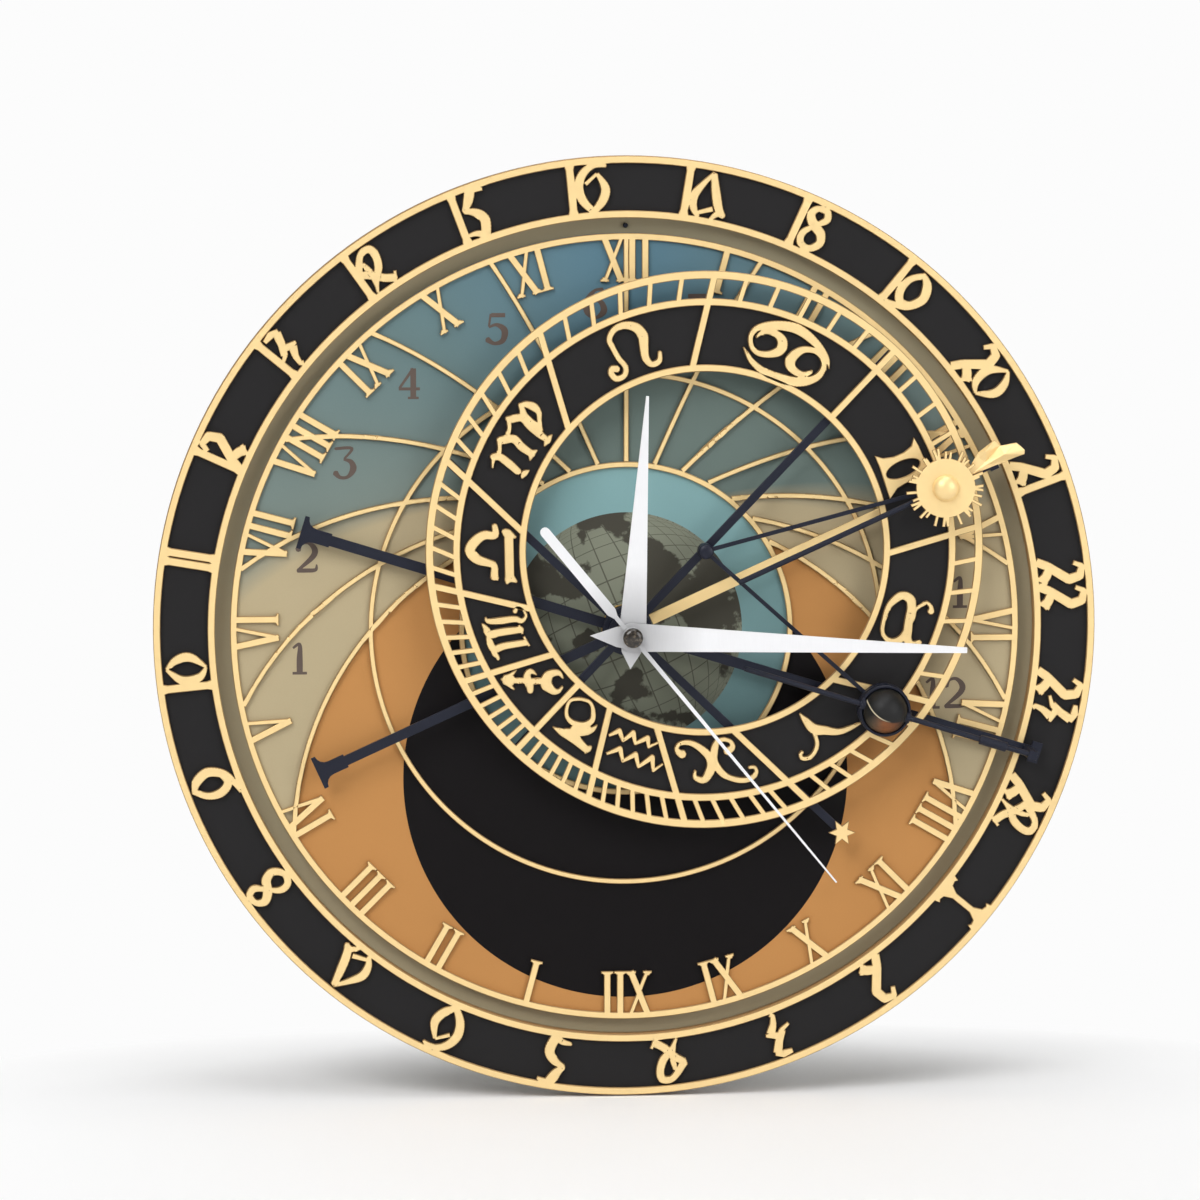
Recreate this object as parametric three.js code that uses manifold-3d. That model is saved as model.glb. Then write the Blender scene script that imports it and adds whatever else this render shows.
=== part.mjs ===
// Astronomical wall clock: a stereographic dial inside a 24-hour ring, a turning zodiac ring
// with its sun and moon carriers, three hands, and the battery movement behind it all.
// Millimetres, +Z up. The dial faces -Y and the wall is the plane Y = 0.
// Each piece is drawn in the face's own frame: x to the right, y up, z out of the wall.
import * as THREE from "three";
import { mergeVertices } from "three/addons/utils/BufferGeometryUtils.js";
import Module from "manifold-3d";

const wasm = await Module();
wasm.setup();

// Clearances
const SEAT = 0.3; // between pieces that lie on or in each other
const RUN = 0.4; // between pieces that turn past each other
const LINK_PLAY = 1.0; // round the two pins where a carrier's linkage is left open
const FLAT = 0.06; // points nearer than this to a straight edge are left out of a joined body
const SAG = 0.5; // most that a circle's flats fall short of it

// Dial projection: latitude and tilt of the ecliptic give every circle from the equator's radius
const EQUATOR_R = 92;
const LATITUDE = 50;
const OBLIQUITY = 23.5;
const UNEQUAL_HOURS = 12;
const ARC_STEPS = 4;

// Dial, its fret and the plate behind
const PLATE_LIP = 4; // how far the 24-hour ring stands out past the plate
const PLATE_T = 3;
const DIAL_MARGIN = 0.477; // gilt outside the outer tropic's own line
const DIAL_T = 3;
const FRET_T = 1.2;
const OUTER_LINE_W = 3.2;
const EQUATOR_LINE_W = 1.3;
const INNER_LINE_W = 2.4;
const ARC_LINE_W = 1.3;
const NUMERAL_H = 15.6;
const NUMERAL_THICK = 2.3;
const NUMERAL_THIN = 1.0;
const NUMERAL_V_W = 8.6;
const NUMERAL_PITCH = 4.7;

// 24-hour ring
const CHANNEL_W = 5.5; // khaki strip between the dial and the ring
const RING_BASE_T = 3.4;
const RING_BAND_T = 0.8;
const RING_FRET_T = 1.4;
const RING_RIM_W = 2.6;
const RING_BAND_W = 16.9;
const DIGIT_LINE_W = 2;
const DIGIT_W = 8.6;
const DIGIT_GAP = 1.4;

// Zodiac ring
const ZODIAC_FRET_T = 1.3;
const ZODIAC_OUTER_RIM_W = 2.9;
const ZODIAC_WINDOW_W = 6.9;
const ZODIAC_MIDDLE_RIM_W = 2.6;
const ZODIAC_BAND_W = 21.1;
const ZODIAC_INNER_RIM_W = 2.5;
const ZODIAC_BAND_T = 1;
const BAND_SETBACK = 0.2; // from the sign fret's inner edge back to the band's
const SIGN_BAR_W = 1.9;
const DEGREE_BAR_W = 1.1;
const DEGREE_BARS = 72;
const SIGNS = 12;
const ZODIAC_TURN = 46.4; // where the ring's own centre stands, in degrees from the right

// Arms, rods and links
const ARM_T = 1.2;
const HUB_R = 9;
const SPOKE_W = 3;
const SUN_TURN = 24.5;
const SUN_BAR_W = 4;
const SUN_BAR_PAST = 3.1; // length over the 24-hour ring
const SUN_POST_INSET = 7.5;
const SUN_HOLE_R = 1.2;
const MOON_TURN = -17.2;
const MOON_ARM_W = 3.8;
const MOON_ARM_PAST = 9.1;
const MOON_POST_INSET = 5;
const TAIL_R = 122.5;
const TAIL_CROSS_W = 12;
const TAIL_FOOT_L = 1.6;
const TAIL_COLLAR_W = 5;
const TAIL_COLLAR_L = 6;
const POST_W = 3.2;
const POST_CAP = 0.4;
const MOON_COLLAR_INSET = 20;
const ROD_R = 1;
const ROD_START_R = 43;
const COLLAR_R = 1.8;
const COLLAR_L = 10;
const LINK_T = 1;
const LINK_W = 1.5;
const LINK_EYE_R = 3.6;
const PIVOT_R = 1.3;
const KNOB_R = 2.7;
const KNOB_T = 2;

// Sun, moon, pointer and star
const SUN_INSET = 11.72; // from the zodiac ring's edge to the sun's circle
const MOON_INSET = 14.32;
const SUN_DISC_R = 10.7;
const SUN_RAY_R = 14;
const SUN_RAYS = 26;
const SUN_DISC_T = 1;
const SUN_DOME_R = 5;
const SUN_DOME_H = 3.4;
const CARRIAGE_L = 7;
const CARRIAGE_W = 5;
const CARRIAGE_WALL = 1.2;
const BALL_R = 8;
const CUP_WALL = 0.9;
const SLEEVE_WALL = 0.8;
const POINTER_LAP = 1; // how far the pointing hand reaches back over the sun's post
const POINTER_L = 15.5;
const POINTER_T = 2.4;
const STAR_R = 4.9;
const STAR_PAST = 15;
const STAR_T = 1.2;

// Hands
const HAND_T = 0.8;
const HOUR_HAND_L = 86;
const HOUR_HAND_W = 10;
const MINUTE_HAND_L = 120;
const MINUTE_HAND_W = 10.4;
const HOUR_TAIL_L = 11.5;
const MINUTE_TAIL_L = 15.2;
const HOUR_TIP_W = 1;
const MINUTE_TIP_W = 2;
const SECOND_HAND_T = 0.6;
const SECOND_HAND_L = 115;
const SECOND_TAIL_L = 49;
const SECOND_TAIL_W = 3.6;
const SECOND_SHOULDER_R = 11.9;
const SECOND_SHOULDER_L = 2.4;
const SECOND_NEEDLE_W = 1.6;
const SECOND_TIP_W = 0.6;
const CAP_R = 3.9;
const CAP_T = 2.6;
const HOUR_AT = 86.4; // degrees from the right at rest
const MINUTE_AT = -2.7;
const SECOND_AT = -50.5;

// Movement case
const CASE_DEPTH = 16.5;
const CASE_WALL = 1.4;
const COVER_T = 1.2;
const BATTERY_R = 7.2;
const BATTERY_L = 50;
const BATTERY_NUB_R = 2.6;
const BATTERY_NUB_L = 1;
const BAY_WALL = 1;
const CONTACT_T = 0.4;
const CONTACT_PLAY = 0.9; // behind each contact
const HANGER_W = 20;
const HANGER_T = 0.8;
const HANGER_TAB_L = 13;
const HANGER_EYE_W = 10;
const HANGER_EYE_H = 7;
const RUBBER_T = 1;
const NUT_T = 2.8;
const NUT_R = 7.6;
const DIAL_WASHER_T = 0.8;
const BUSH_R = 4;
const BUSH_FLANGE_R = 6;
const BUSH_FLANGE_T = 1.2;
const RETAINER_R = 7;
const RETAINER_T = 2;

// Gear train: teeth and the distances between arbors
const PINION_TEETH = 8;
const WHEEL_TEETH = 24;
const LOW_PINION_TEETH = 6;
const HOUR_TEETH = 24;
const TURN_DISTANCE = 12;
const SECONDS_TEETH = 20;
const THIRD_PINION_TEETH = 5;
const THIRD_DISTANCE = 10;
const THIRD_TEETH = 15;
const ROTOR_TEETH = 5;
const ROTOR_DISTANCE = 7.5;
const ROTOR_TURN = 150;
const GEAR_T = 1.1;
const GEAR_STEP = 0.9; // free height between gear levels
const ARBOR_R = 0.7;
const SECOND_SHAFT_R = 0.5;
const MINUTE_TUBE_WALL = 0.7;
const HOUR_TUBE_WALL = 0.7;
const SETTING_KNOB_R = 6;
const SETTING_FLANGE_W = 1.2;
const BOARD_W = 16;
const BOARD_H = 13;
const BOARD_T = 1;
const COIL_R = 2.6;
const COIL_L = 13;
const STATOR_W = 2.6;
const MAGNET_R = 2.4;

// Finishes
const finish = (color, roughness, metalness) => {
  return new THREE.MeshStandardMaterial({ color, roughness, metalness });
};
const GOLD = finish(0xe9c887, 0.45, 0.8);
const BLACK = finish(0x232324, 0.6, 0.1);
const NAVY = finish(0x262a3a, 0.5, 0.3);
const KHAKI = finish(0x9b8c6e, 0.7, 0);
const PRINT = finish(0x8fa39a, 0.65, 0);
const SILVER = finish(0xe4e4e6, 0.35, 0.6);
const BRASS = finish(0xb89550, 0.4, 0.9);
const STEEL = finish(0x9a9ca0, 0.4, 0.9);
const COPPER = finish(0xb8693a, 0.45, 0.8);
const SHELL = finish(0x1c1c1d, 0.6, 0);
const GEAR = finish(0xe8e6dc, 0.6, 0);
const RUBBER = finish(0x2a2a2a, 0.9, 0);
const CELL = finish(0x3b3f45, 0.4, 0.4);
const BOARD = finish(0x2f6b45, 0.6, 0);
const CAP = finish(0x3a2f2a, 0.35, 0.5);

// Plane geometry
const rad = (degrees) => (degrees * Math.PI) / 180;
const polar = (r, degrees) => [r * Math.cos(rad(degrees)), r * Math.sin(rad(degrees))];
const shifted = (points, x, y) => points.map((p) => [p[0] + x, p[1] + y]);

function turned(points, degrees) {
  const c = Math.cos(rad(degrees));
  const s = Math.sin(rad(degrees));
  return points.map(([x, y]) => [x * c - y * s, x * s + y * c]);
}

function box(x0, y0, x1, y1) {
  return [[x0, y0], [x1, y0], [x1, y1], [x0, y1]];
}

// Sides of a circle: as many as keep its flats within the sag, and never fewer than eight.
function facetsOf(r) {
  return Math.max(8, 4 * Math.round(Math.PI / Math.acos(1 - SAG / Math.max(r, 2 * SAG)) / 4));
}

function circle(r, facets = facetsOf(r), x = 0, y = 0) {
  const points = [];
  for (let i = 0; i < facets; i++) points.push(polar(r, (360 * i) / facets));
  return shifted(points, x, y);
}

// The arc from a to c through b, carried a little past both ends so that it runs into its rims.
function arcThrough(a, b, c, steps, past) {
  const cross = (b[0] - a[0]) * (c[1] - a[1]) - (b[1] - a[1]) * (c[0] - a[0]);
  if (Math.abs(cross) < 1e-6) {
    const length = Math.hypot(c[0] - a[0], c[1] - a[1]);
    const ux = ((c[0] - a[0]) * past) / length;
    const uy = ((c[1] - a[1]) * past) / length;
    return [[a[0] - ux, a[1] - uy], [c[0] + ux, c[1] + uy]];
  }
  const square = (p) => p[0] * p[0] + p[1] * p[1];
  const [sa, sb, sc] = [square(a), square(b), square(c)];
  const x = (sa * (b[1] - c[1]) + sb * (c[1] - a[1]) + sc * (a[1] - b[1])) / (2 * cross);
  const y = (sa * (c[0] - b[0]) + sb * (a[0] - c[0]) + sc * (b[0] - a[0])) / (2 * cross);
  const r = Math.hypot(a[0] - x, a[1] - y);
  const angle = (p) => Math.atan2(p[1] - y, p[0] - x);
  const wrap = (t) => Math.atan2(Math.sin(t), Math.cos(t));
  const start = angle(a);
  const sweep = wrap(angle(b) - start) + wrap(angle(c) - angle(b));
  const extra = (Math.sign(sweep) * past) / r;
  const points = [];
  for (let i = 0; i <= steps; i++) {
    const t = start - extra + ((sweep + 2 * extra) * i) / steps;
    points.push([x + r * Math.cos(t), y + r * Math.sin(t)]);
  }
  return points;
}

// A line of one width along a row of points, mitred at its corners.
function ribbon(points, width) {
  const left = [];
  const right = [];
  const last = points.length - 1;
  const unit = (p, q) => {
    const length = Math.hypot(q[0] - p[0], q[1] - p[1]);
    return [(q[0] - p[0]) / length, (q[1] - p[1]) / length];
  };
  points.forEach((p, i) => {
    const a = unit(points[Math.max(i - 1, 0)], points[Math.max(i, 1)]);
    const b = unit(points[Math.min(i, last - 1)], points[Math.min(i + 1, last)]);
    const sum = [-(a[1] + b[1]), a[0] + b[0]];
    const mitre = width / Math.max(1 + a[0] * b[0] + a[1] * b[1], 0.5) / 2;
    left.push([p[0] + sum[0] * mitre, p[1] + sum[1] * mitre]);
    right.unshift([p[0] - sum[0] * mitre, p[1] - sum[1] * mitre]);
  });
  return right.concat(left);
}

// Solids
function plate(points, depth, z = 0, holes = []) {
  const shape = new THREE.Shape(points.map((p) => new THREE.Vector2(p[0], p[1])));
  for (const hole of holes) {
    shape.holes.push(new THREE.Path(hole.map((p) => new THREE.Vector2(p[0], p[1]))));
  }
  const geometry = new THREE.ExtrudeGeometry(shape, { depth, bevelEnabled: false });
  return geometry.translate(0, 0, z);
}

function rim(outer, inner, depth, z = 0, facets = facetsOf(outer)) {
  return plate(circle(outer, facets), depth, z, [circle(inner, facets)]);
}

// A body of revolution about the z axis; a profile that is clear of the axis closes on itself.
function lathe(profile, facets) {
  const points = profile.map((p) => new THREE.Vector2(p[0], p[1]));
  return new THREE.LatheGeometry(points, facets).rotateX(Math.PI / 2);
}

function tube(outer, inner, z0, z1, facets = 20) {
  return lathe([[inner, z0], [outer, z0], [outer, z1], [inner, z1], [inner, z0]], facets);
}

function shaft(r, z0, z1, facets = 12) {
  return lathe([[0, z0], [r, z0], [r, z1], [0, z1]], facets);
}

function solid(geometry) {
  const bare = new THREE.BufferGeometry();
  bare.setAttribute("position", geometry.getAttribute("position"));
  if (geometry.index) bare.setIndex(geometry.index);
  const merged = mergeVertices(bare, 1e-4);
  const vertProperties = merged.getAttribute("position").array;
  const triVerts = new Uint32Array(merged.index.array);
  return new wasm.Manifold(new wasm.Mesh({ numProp: 3, vertProperties, triVerts }));
}

function geometryOf(body) {
  const { numProp, vertProperties, triVerts } = body.getMesh();
  const places = new Float32Array((vertProperties.length / numProp) * 3);
  for (let i = 0; i < places.length / 3; i++) {
    places.set(vertProperties.subarray(i * numProp, i * numProp + 3), i * 3);
  }
  const geometry = new THREE.BufferGeometry();
  geometry.setAttribute("position", new THREE.BufferAttribute(places, 3));
  geometry.setIndex(new THREE.BufferAttribute(triVerts, 1));
  geometry.computeVertexNormals();
  return geometry;
}

function join(geometries, cuts = []) {
  let body = solid(geometries[0]);
  for (const geometry of geometries.slice(1)) body = body.add(solid(geometry));
  for (const geometry of cuts) body = body.subtract(solid(geometry));
  return geometryOf(body.asOriginal().simplify(FLAT));
}

// A wheel outline with trapezoid teeth, one of which stands at the given turn.
function gearOutline(teeth, distance, mate, turn) {
  const module = (2 * distance) / (teeth + mate);
  const pitch = 360 / teeth;
  const tip = (teeth * module) / 2 + 0.6 * module;
  const root = (teeth * module) / 2 - 0.95 * module;
  const points = [];
  for (let i = 0; i < teeth; i++) {
    const at = turn + pitch * i;
    points.push(polar(root, at - 0.26 * pitch), polar(tip, at - 0.09 * pitch));
    points.push(polar(tip, at + 0.09 * pitch), polar(root, at + 0.26 * pitch));
  }
  return points;
}

// The turn of a wheel that meshes with another one, which lies in the opposite direction from it.
function meshed(teeth, turn, direction, mate) {
  const phase = ((direction - turn) * teeth) / 360;
  return direction + 180 - (360 / mate) * (0.5 - phase);
}

// Levels out of the wall
const coverBack = CASE_DEPTH - COVER_T;
const hangerBack = CASE_DEPTH + SEAT;
const rubberBack = hangerBack + HANGER_T + SEAT;
const plateBack = rubberBack + RUBBER_T + SEAT;
const dialBack = plateBack + PLATE_T + SEAT;
const dialFront = dialBack + DIAL_T;
const fretBack = dialFront + SEAT;
const ringBack = plateBack + PLATE_T + SEAT;
const bandBack = ringBack + RING_BASE_T + SEAT;
const ringFretBack = bandBack + RING_BAND_T + SEAT;
const nutBack = dialFront + SEAT + DIAL_WASHER_T + SEAT;
const moonArmBack = Math.max(ringFretBack + RING_FRET_T, nutBack + NUT_T, fretBack + FRET_T) + RUN;
const sunArmBack = moonArmBack + ARM_T + RUN;
const spokesBack = sunArmBack + ARM_T + RUN;
const zodiacBack = spokesBack + ARM_T + SEAT;
const zodiacFretBack = zodiacBack + ZODIAC_BAND_T + SEAT;
const zodiacFront = zodiacFretBack + ZODIAC_FRET_T;
const sunLinkBack = zodiacFront + RUN;
const moonLinkBack = sunLinkBack + LINK_T + RUN;
const linksFront = moonLinkBack + LINK_T;
const sunRodZ = linksFront + RUN + CARRIAGE_WALL + SEAT + ROD_R;
const sunDiscBack = sunRodZ + ROD_R + SEAT + CARRIAGE_WALL + SEAT;
const sunFront = sunDiscBack + SUN_DISC_T + SUN_DOME_H;
const ballZ = zodiacFront + RUN + BALL_R;
const hourBack = Math.max(sunFront, ballZ + BALL_R) + RUN;
const minuteBack = hourBack + HAND_T + RUN;
const secondBack = minuteBack + HAND_T + RUN;
const capBack = secondBack + SECOND_HAND_T + SEAT;

// Nested tubes on the clock's axis
const minuteBore = SECOND_SHAFT_R + SEAT;
const minuteTubeR = minuteBore + MINUTE_TUBE_WALL;
const hourBore = minuteTubeR + SEAT;
const hourTubeR = hourBore + HOUR_TUBE_WALL;
const bushBore = hourTubeR + SEAT;
const bushHole = BUSH_R + SEAT;
const hubBore = BUSH_R + RUN;

// Radii of the projection
const tropic = Math.tan(rad(45 + OBLIQUITY / 2));
const outerTropicR = EQUATOR_R * tropic;
const innerTropicR = EQUATOR_R / tropic;
const zodiacR = (outerTropicR + innerTropicR) / 2;
const zodiacOffset = (outerTropicR - innerTropicR) / 2;
const middleRimR = zodiacR - ZODIAC_OUTER_RIM_W - ZODIAC_WINDOW_W;
const bandOuterR = middleRimR - ZODIAC_MIDDLE_RIM_W;
const bandInnerR = bandOuterR - ZODIAC_BAND_W;
const zodiacInnerR = bandInnerR - ZODIAC_INNER_RIM_W;
const knobPlace = polar(zodiacOffset, ZODIAC_TURN);
const dialR = outerTropicR + OUTER_LINE_W / 2 + DIAL_MARGIN;
const ringInnerR = dialR + CHANNEL_W;
const ringR = ringInnerR + 2 * RING_RIM_W + RING_BAND_W;
const plateR = ringR - PLATE_LIP;

// Reach of the arms, rods and links
const sunBarR = ringInnerR + SUN_BAR_PAST;
const sunPostR = sunBarR - SUN_POST_INSET;
const pointerR = sunPostR - POINTER_LAP;
const moonArmR = ringInnerR + MOON_ARM_PAST;
const moonPostR = moonArmR - MOON_POST_INSET;
const moonCollarR = moonPostR - MOON_COLLAR_INSET;
const starPlaceR = EQUATOR_R + STAR_PAST;
const sunLinkL = zodiacR - SUN_INSET;
const moonLinkL = zodiacR - MOON_INSET;

// The named meshes, grouped on the clock's axis
const clock = new THREE.Group();
clock.rotation.x = Math.PI / 2;

function add(name, geometry, material, place = {}) {
  const mesh = new THREE.Mesh(geometry, material);
  mesh.name = name;
  mesh.position.set(place.x || 0, place.y || 0, place.z || 0);
  mesh.rotation.z = rad(place.turn || 0);
  (place.group || clock).add(mesh);
  return mesh;
}

// Half-length of daylight at the sun's height, as an angle on the dial from noon.
function halfDay(declination) {
  const tangents = Math.tan(rad(LATITUDE)) * Math.tan(rad(declination));
  return (Math.acos(-tangents) * 180) / Math.PI;
}

function unequalHourArc(hour) {
  const share = (UNEQUAL_HOURS / 2 - hour) / (UNEQUAL_HOURS / 2);
  const inner = polar(innerTropicR, 90 + halfDay(-OBLIQUITY) * share);
  const equator = polar(EQUATOR_R, 90 + 90 * share);
  const outer = polar(outerTropicR, 90 + halfDay(OBLIQUITY) * share);
  return arcThrough(inner, equator, outer, ARC_STEPS, EQUATOR_LINE_W / 2);
}

// Strokes of one Roman letter, drawn upward from y = 0 and centred on x = 0.
function romanLetter(letter) {
  const h = NUMERAL_H;
  const half = NUMERAL_V_W / 2;
  const foot = NUMERAL_THICK;
  if (letter === "I") {
    return [box(-NUMERAL_THICK / 2, 0, NUMERAL_THICK / 2, h)];
  }
  if (letter === "V") {
    const thick = ribbon([[-half + foot / 2, h], [0, 0]], NUMERAL_THICK);
    const thin = ribbon([[0, 0], [half - foot / 2, h]], NUMERAL_THIN);
    return [thick, thin];
  }
  const thick = ribbon([[-half + foot / 2, h], [half - foot / 2, 0]], NUMERAL_THICK);
  const thin = ribbon([[-half + foot / 2, 0], [half - foot / 2, h]], NUMERAL_THIN);
  return [thick, thin];
}

const ROMAN = ["I", "II", "III", "IV", "V", "VI", "VII", "VIII", "IX", "X", "XI", "XII"];

function romanNumeral(text) {
  const widths = [...text].map((letter) => (letter === "I" ? NUMERAL_PITCH : NUMERAL_V_W + 0.4));
  const total = widths.reduce((sum, w) => sum + w, 0);
  const strokes = [];
  let x = -total / 2;
  [...text].forEach((letter, i) => {
    for (const stroke of romanLetter(letter)) strokes.push(shifted(stroke, x + widths[i] / 2, 0));
    x += widths[i];
  });
  return strokes;
}

function makeDialFret() {
  const outerInnerR = dialR - OUTER_LINE_W;
  const bars = [
    rim(dialR, outerInnerR, FRET_T),
    rim(EQUATOR_R + EQUATOR_LINE_W / 2, EQUATOR_R - EQUATOR_LINE_W / 2, FRET_T),
    rim(innerTropicR, innerTropicR - INNER_LINE_W, FRET_T),
  ];
  for (let hour = 0; hour <= UNEQUAL_HOURS; hour++) {
    bars.push(plate(ribbon(unequalHourArc(hour), ARC_LINE_W), FRET_T));
  }
  const foot = outerInnerR + NUMERAL_THIN * 0.8 - NUMERAL_H;
  for (let i = 0; i < 24; i++) {
    const at = -90 - 15 * (i + 1);
    for (const stroke of romanNumeral(ROMAN[i % 12])) {
      bars.push(plate(turned(shifted(stroke, 0, foot), at - 90), FRET_T));
    }
  }
  return join(bars);
}

// Old figures for the 24-hour ring: strokes on a field one wide and one high.
const FIGURES = [
  [[[0, 1.04], [0.34, 0.5], [0, -0.04]], [[0, 1.04], [-0.34, 0.5], [0, -0.04]]],
  [[[0, -0.04], [0, 1.04]]],
  [[[-0.36, 0.72], [0, 1.04], [0.3, 0.74], [-0.3, 0.24], [0.05, -0.04], [0.38, 0.3]]],
  [[[-0.34, 0.74], [0, 1.04], [0.3, 0.76], [-0.1, 0.52], [0.32, 0.34], [0, -0.04]]],
  [[[-0.36, -0.04], [0.26, 0.66], [0, 1.04]], [[0.36, -0.04], [-0.26, 0.66], [0, 1.04]]],
  [[[0.3, 1.04], [-0.2, 0.9], [-0.16, 0.58], [0.3, 0.4], [0, -0.04]]],
  [[[0.2, 1.04], [-0.3, 0.62], [-0.28, 0.24], [0.05, -0.04], [0.32, 0.26], [-0.2, 0.5]]],
  [[[-0.34, -0.04], [0, 1.04]], [[0.34, -0.04], [0, 1.04]]],
  [
    [[0, 1.04], [0.3, 0.78], [-0.32, 0.26], [0, -0.04]],
    [[0, 1.04], [-0.3, 0.78], [0.32, 0.26], [0, -0.04]],
  ],
  [[[-0.2, -0.04], [0.3, 0.38], [0.28, 0.76], [-0.05, 1.04], [-0.32, 0.74], [0.2, 0.5]]],
];

function hourFigures(hour) {
  const digits = [...String(hour)].map(Number);
  const widths = digits.map((digit) => (digit === 1 ? DIGIT_LINE_W : DIGIT_W));
  const total = widths.reduce((sum, w) => sum + w, DIGIT_GAP * (digits.length - 1));
  const strokes = [];
  let x = -total / 2;
  digits.forEach((digit, i) => {
    for (const line of FIGURES[digit]) {
      const scaled = line.map(([u, v]) => [x + widths[i] / 2 + u * DIGIT_W, v * RING_BAND_W]);
      strokes.push(ribbon(scaled, DIGIT_LINE_W));
    }
    x += widths[i] + DIGIT_GAP;
  });
  return strokes;
}

function makeHourFret() {
  const bandInner = ringInnerR + RING_RIM_W;
  const bars = [
    rim(ringR, ringR - RING_RIM_W, RING_FRET_T),
    rim(bandInner, ringInnerR, RING_FRET_T),
  ];
  for (let hour = 1; hour <= 24; hour++) {
    const at = -24.5 - 15 * hour;
    for (const stroke of hourFigures(hour)) {
      bars.push(plate(turned(shifted(stroke, 0, bandInner), at - 90), RING_FRET_T));
    }
  }
  return join(bars);
}

// Distance from the clock's axis to a circle about the zodiac ring's centre, along one direction.
function reach(r, degrees) {
  const turn = rad(degrees - ZODIAC_TURN);
  const side = zodiacOffset * Math.sin(turn);
  return zodiacOffset * Math.cos(turn) + Math.sqrt(r * r - side * side);
}

function radialBar(degrees, fromR, toR, width) {
  const from = polar(reach(fromR, degrees), degrees);
  const to = polar(reach(toR, degrees), degrees);
  return ribbon([from, to], width);
}

function makeZodiacFret() {
  const parts = [
    rim(zodiacR, zodiacR - ZODIAC_OUTER_RIM_W, ZODIAC_FRET_T),
    rim(middleRimR, bandOuterR, ZODIAC_FRET_T),
  ];
  for (const part of parts) part.translate(knobPlace[0], knobPlace[1], 0);
  const windowFrom = middleRimR - ZODIAC_MIDDLE_RIM_W / 2;
  const windowTo = zodiacR - ZODIAC_OUTER_RIM_W / 2;
  for (let i = 0; i < DEGREE_BARS; i++) {
    const degrees = ZODIAC_TURN + (360 * i) / DEGREE_BARS;
    parts.push(plate(radialBar(degrees, windowFrom, windowTo, DEGREE_BAR_W), ZODIAC_FRET_T));
  }
  return join(parts);
}

// The sign fret is the thin skin on the band: the inner rim and a bar between each two signs.
function makeSignFret() {
  const barFrom = zodiacInnerR + ZODIAC_INNER_RIM_W / 2;
  const cutR = bandOuterR - SEAT;
  const innerRim = rim(bandInnerR, zodiacInnerR, ZODIAC_FRET_T);
  const outside = rim(zodiacR, cutR, ZODIAC_FRET_T + 2, -1, facetsOf(middleRimR));
  for (const part of [innerRim, outside]) part.translate(knobPlace[0], knobPlace[1], 0);
  const parts = [innerRim];
  for (let i = 0; i < SIGNS; i++) {
    const degrees = ZODIAC_TURN + (360 * i) / SIGNS;
    parts.push(plate(radialBar(degrees, barFrom, middleRimR, SIGN_BAR_W), ZODIAC_FRET_T));
  }
  return join(parts, [outside]);
}

// The black band backs the twelve signs' panels between the middle and inner rims.
function makeZodiacBand() {
  const outer = middleRimR - ZODIAC_MIDDLE_RIM_W / 3;
  const inner = zodiacInnerR + BAND_SETBACK;
  return rim(outer, inner, ZODIAC_BAND_T).translate(knobPlace[0], knobPlace[1], 0);
}

function makeBar(fromR, toR, width) {
  return plate(box(fromR, -width / 2, toR, width / 2), ARM_T);
}

// A tail's outline: the bar, a wider collar and a hollow flare out to the cross piece.
function tailOutline(width) {
  const flare = (TAIL_CROSS_W - TAIL_COLLAR_W) / 2;
  const flareR = TAIL_R - TAIL_FOOT_L - flare;
  const collarR = flareR - TAIL_COLLAR_L;
  const side = [[0, width / 2], [-collarR, width / 2], [-collarR, TAIL_COLLAR_W / 2]];
  for (const turn of [-90, -67.5, -45, -22.5, 0]) {
    const [x, y] = polar(flare, turn);
    side.push([-flareR - x, TAIL_CROSS_W / 2 + y]);
  }
  side.push([-TAIL_R, TAIL_CROSS_W / 2]);
  const mirrored = side.map(([x, y]) => [x, -y]);
  return side.concat(mirrored.reverse());
}

// A turned arm's hub with a bar on one side that ends in a cross piece.
function makeTailArm(width, endR) {
  const parts = [plate(circle(HUB_R, 24), ARM_T), plate(tailOutline(width), ARM_T)];
  if (endR > 0) {
    parts.push(makeBar(0, endR, width));
    parts.push(plate(box(endR - width, -width, endR, width), ARM_T));
  }
  return join(parts, [shaft(hubBore, -1, ARM_T + 1, 16)]);
}

function makeSpokes() {
  const ringReach = (degrees) => reach(zodiacR - ZODIAC_OUTER_RIM_W, ZODIAC_TURN + degrees);
  const bar = (degrees, length) => {
    return plate(turned(box(0, -SPOKE_W / 2, length, SPOKE_W / 2), ZODIAC_TURN + degrees), ARM_T);
  };
  const parts = [
    plate(circle(HUB_R, 24), ARM_T),
    bar(0, ringReach(0)),
    bar(180, ringReach(180)),
    bar(90, ringReach(90)),
    bar(270, starPlaceR + SPOKE_W / 2),
  ];
  return join(parts, [shaft(hubBore, -1, ARM_T + 1, 16)]);
}

function starOutline(r, points, inner) {
  const outline = [];
  for (let i = 0; i < points; i++) {
    outline.push(polar(r, (360 * i) / points), polar(r * inner, (360 * (i + 0.5)) / points));
  }
  return outline;
}

function makeSunDisc() {
  const outline = [];
  const pitch = 360 / SUN_RAYS;
  for (let i = 0; i < SUN_RAYS; i++) {
    const tip = i % 2 ? SUN_RAY_R : SUN_RAY_R - 1.2;
    outline.push(polar(SUN_DISC_R, pitch * (i - 0.3)), polar(tip, pitch * i));
    outline.push(polar(SUN_DISC_R, pitch * (i + 0.3)));
  }
  const dome = [[0, 0], [SUN_DOME_R, 0]];
  for (const lift of [0, 30, 60]) {
    dome.push([SUN_DOME_R * Math.cos(rad(lift)), SUN_DISC_T + SUN_DOME_H * Math.sin(rad(lift))]);
  }
  dome.push([0, SUN_DISC_T + SUN_DOME_H]);
  return join([plate(outline, SUN_DISC_T), lathe(dome, 16)]);
}

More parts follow.
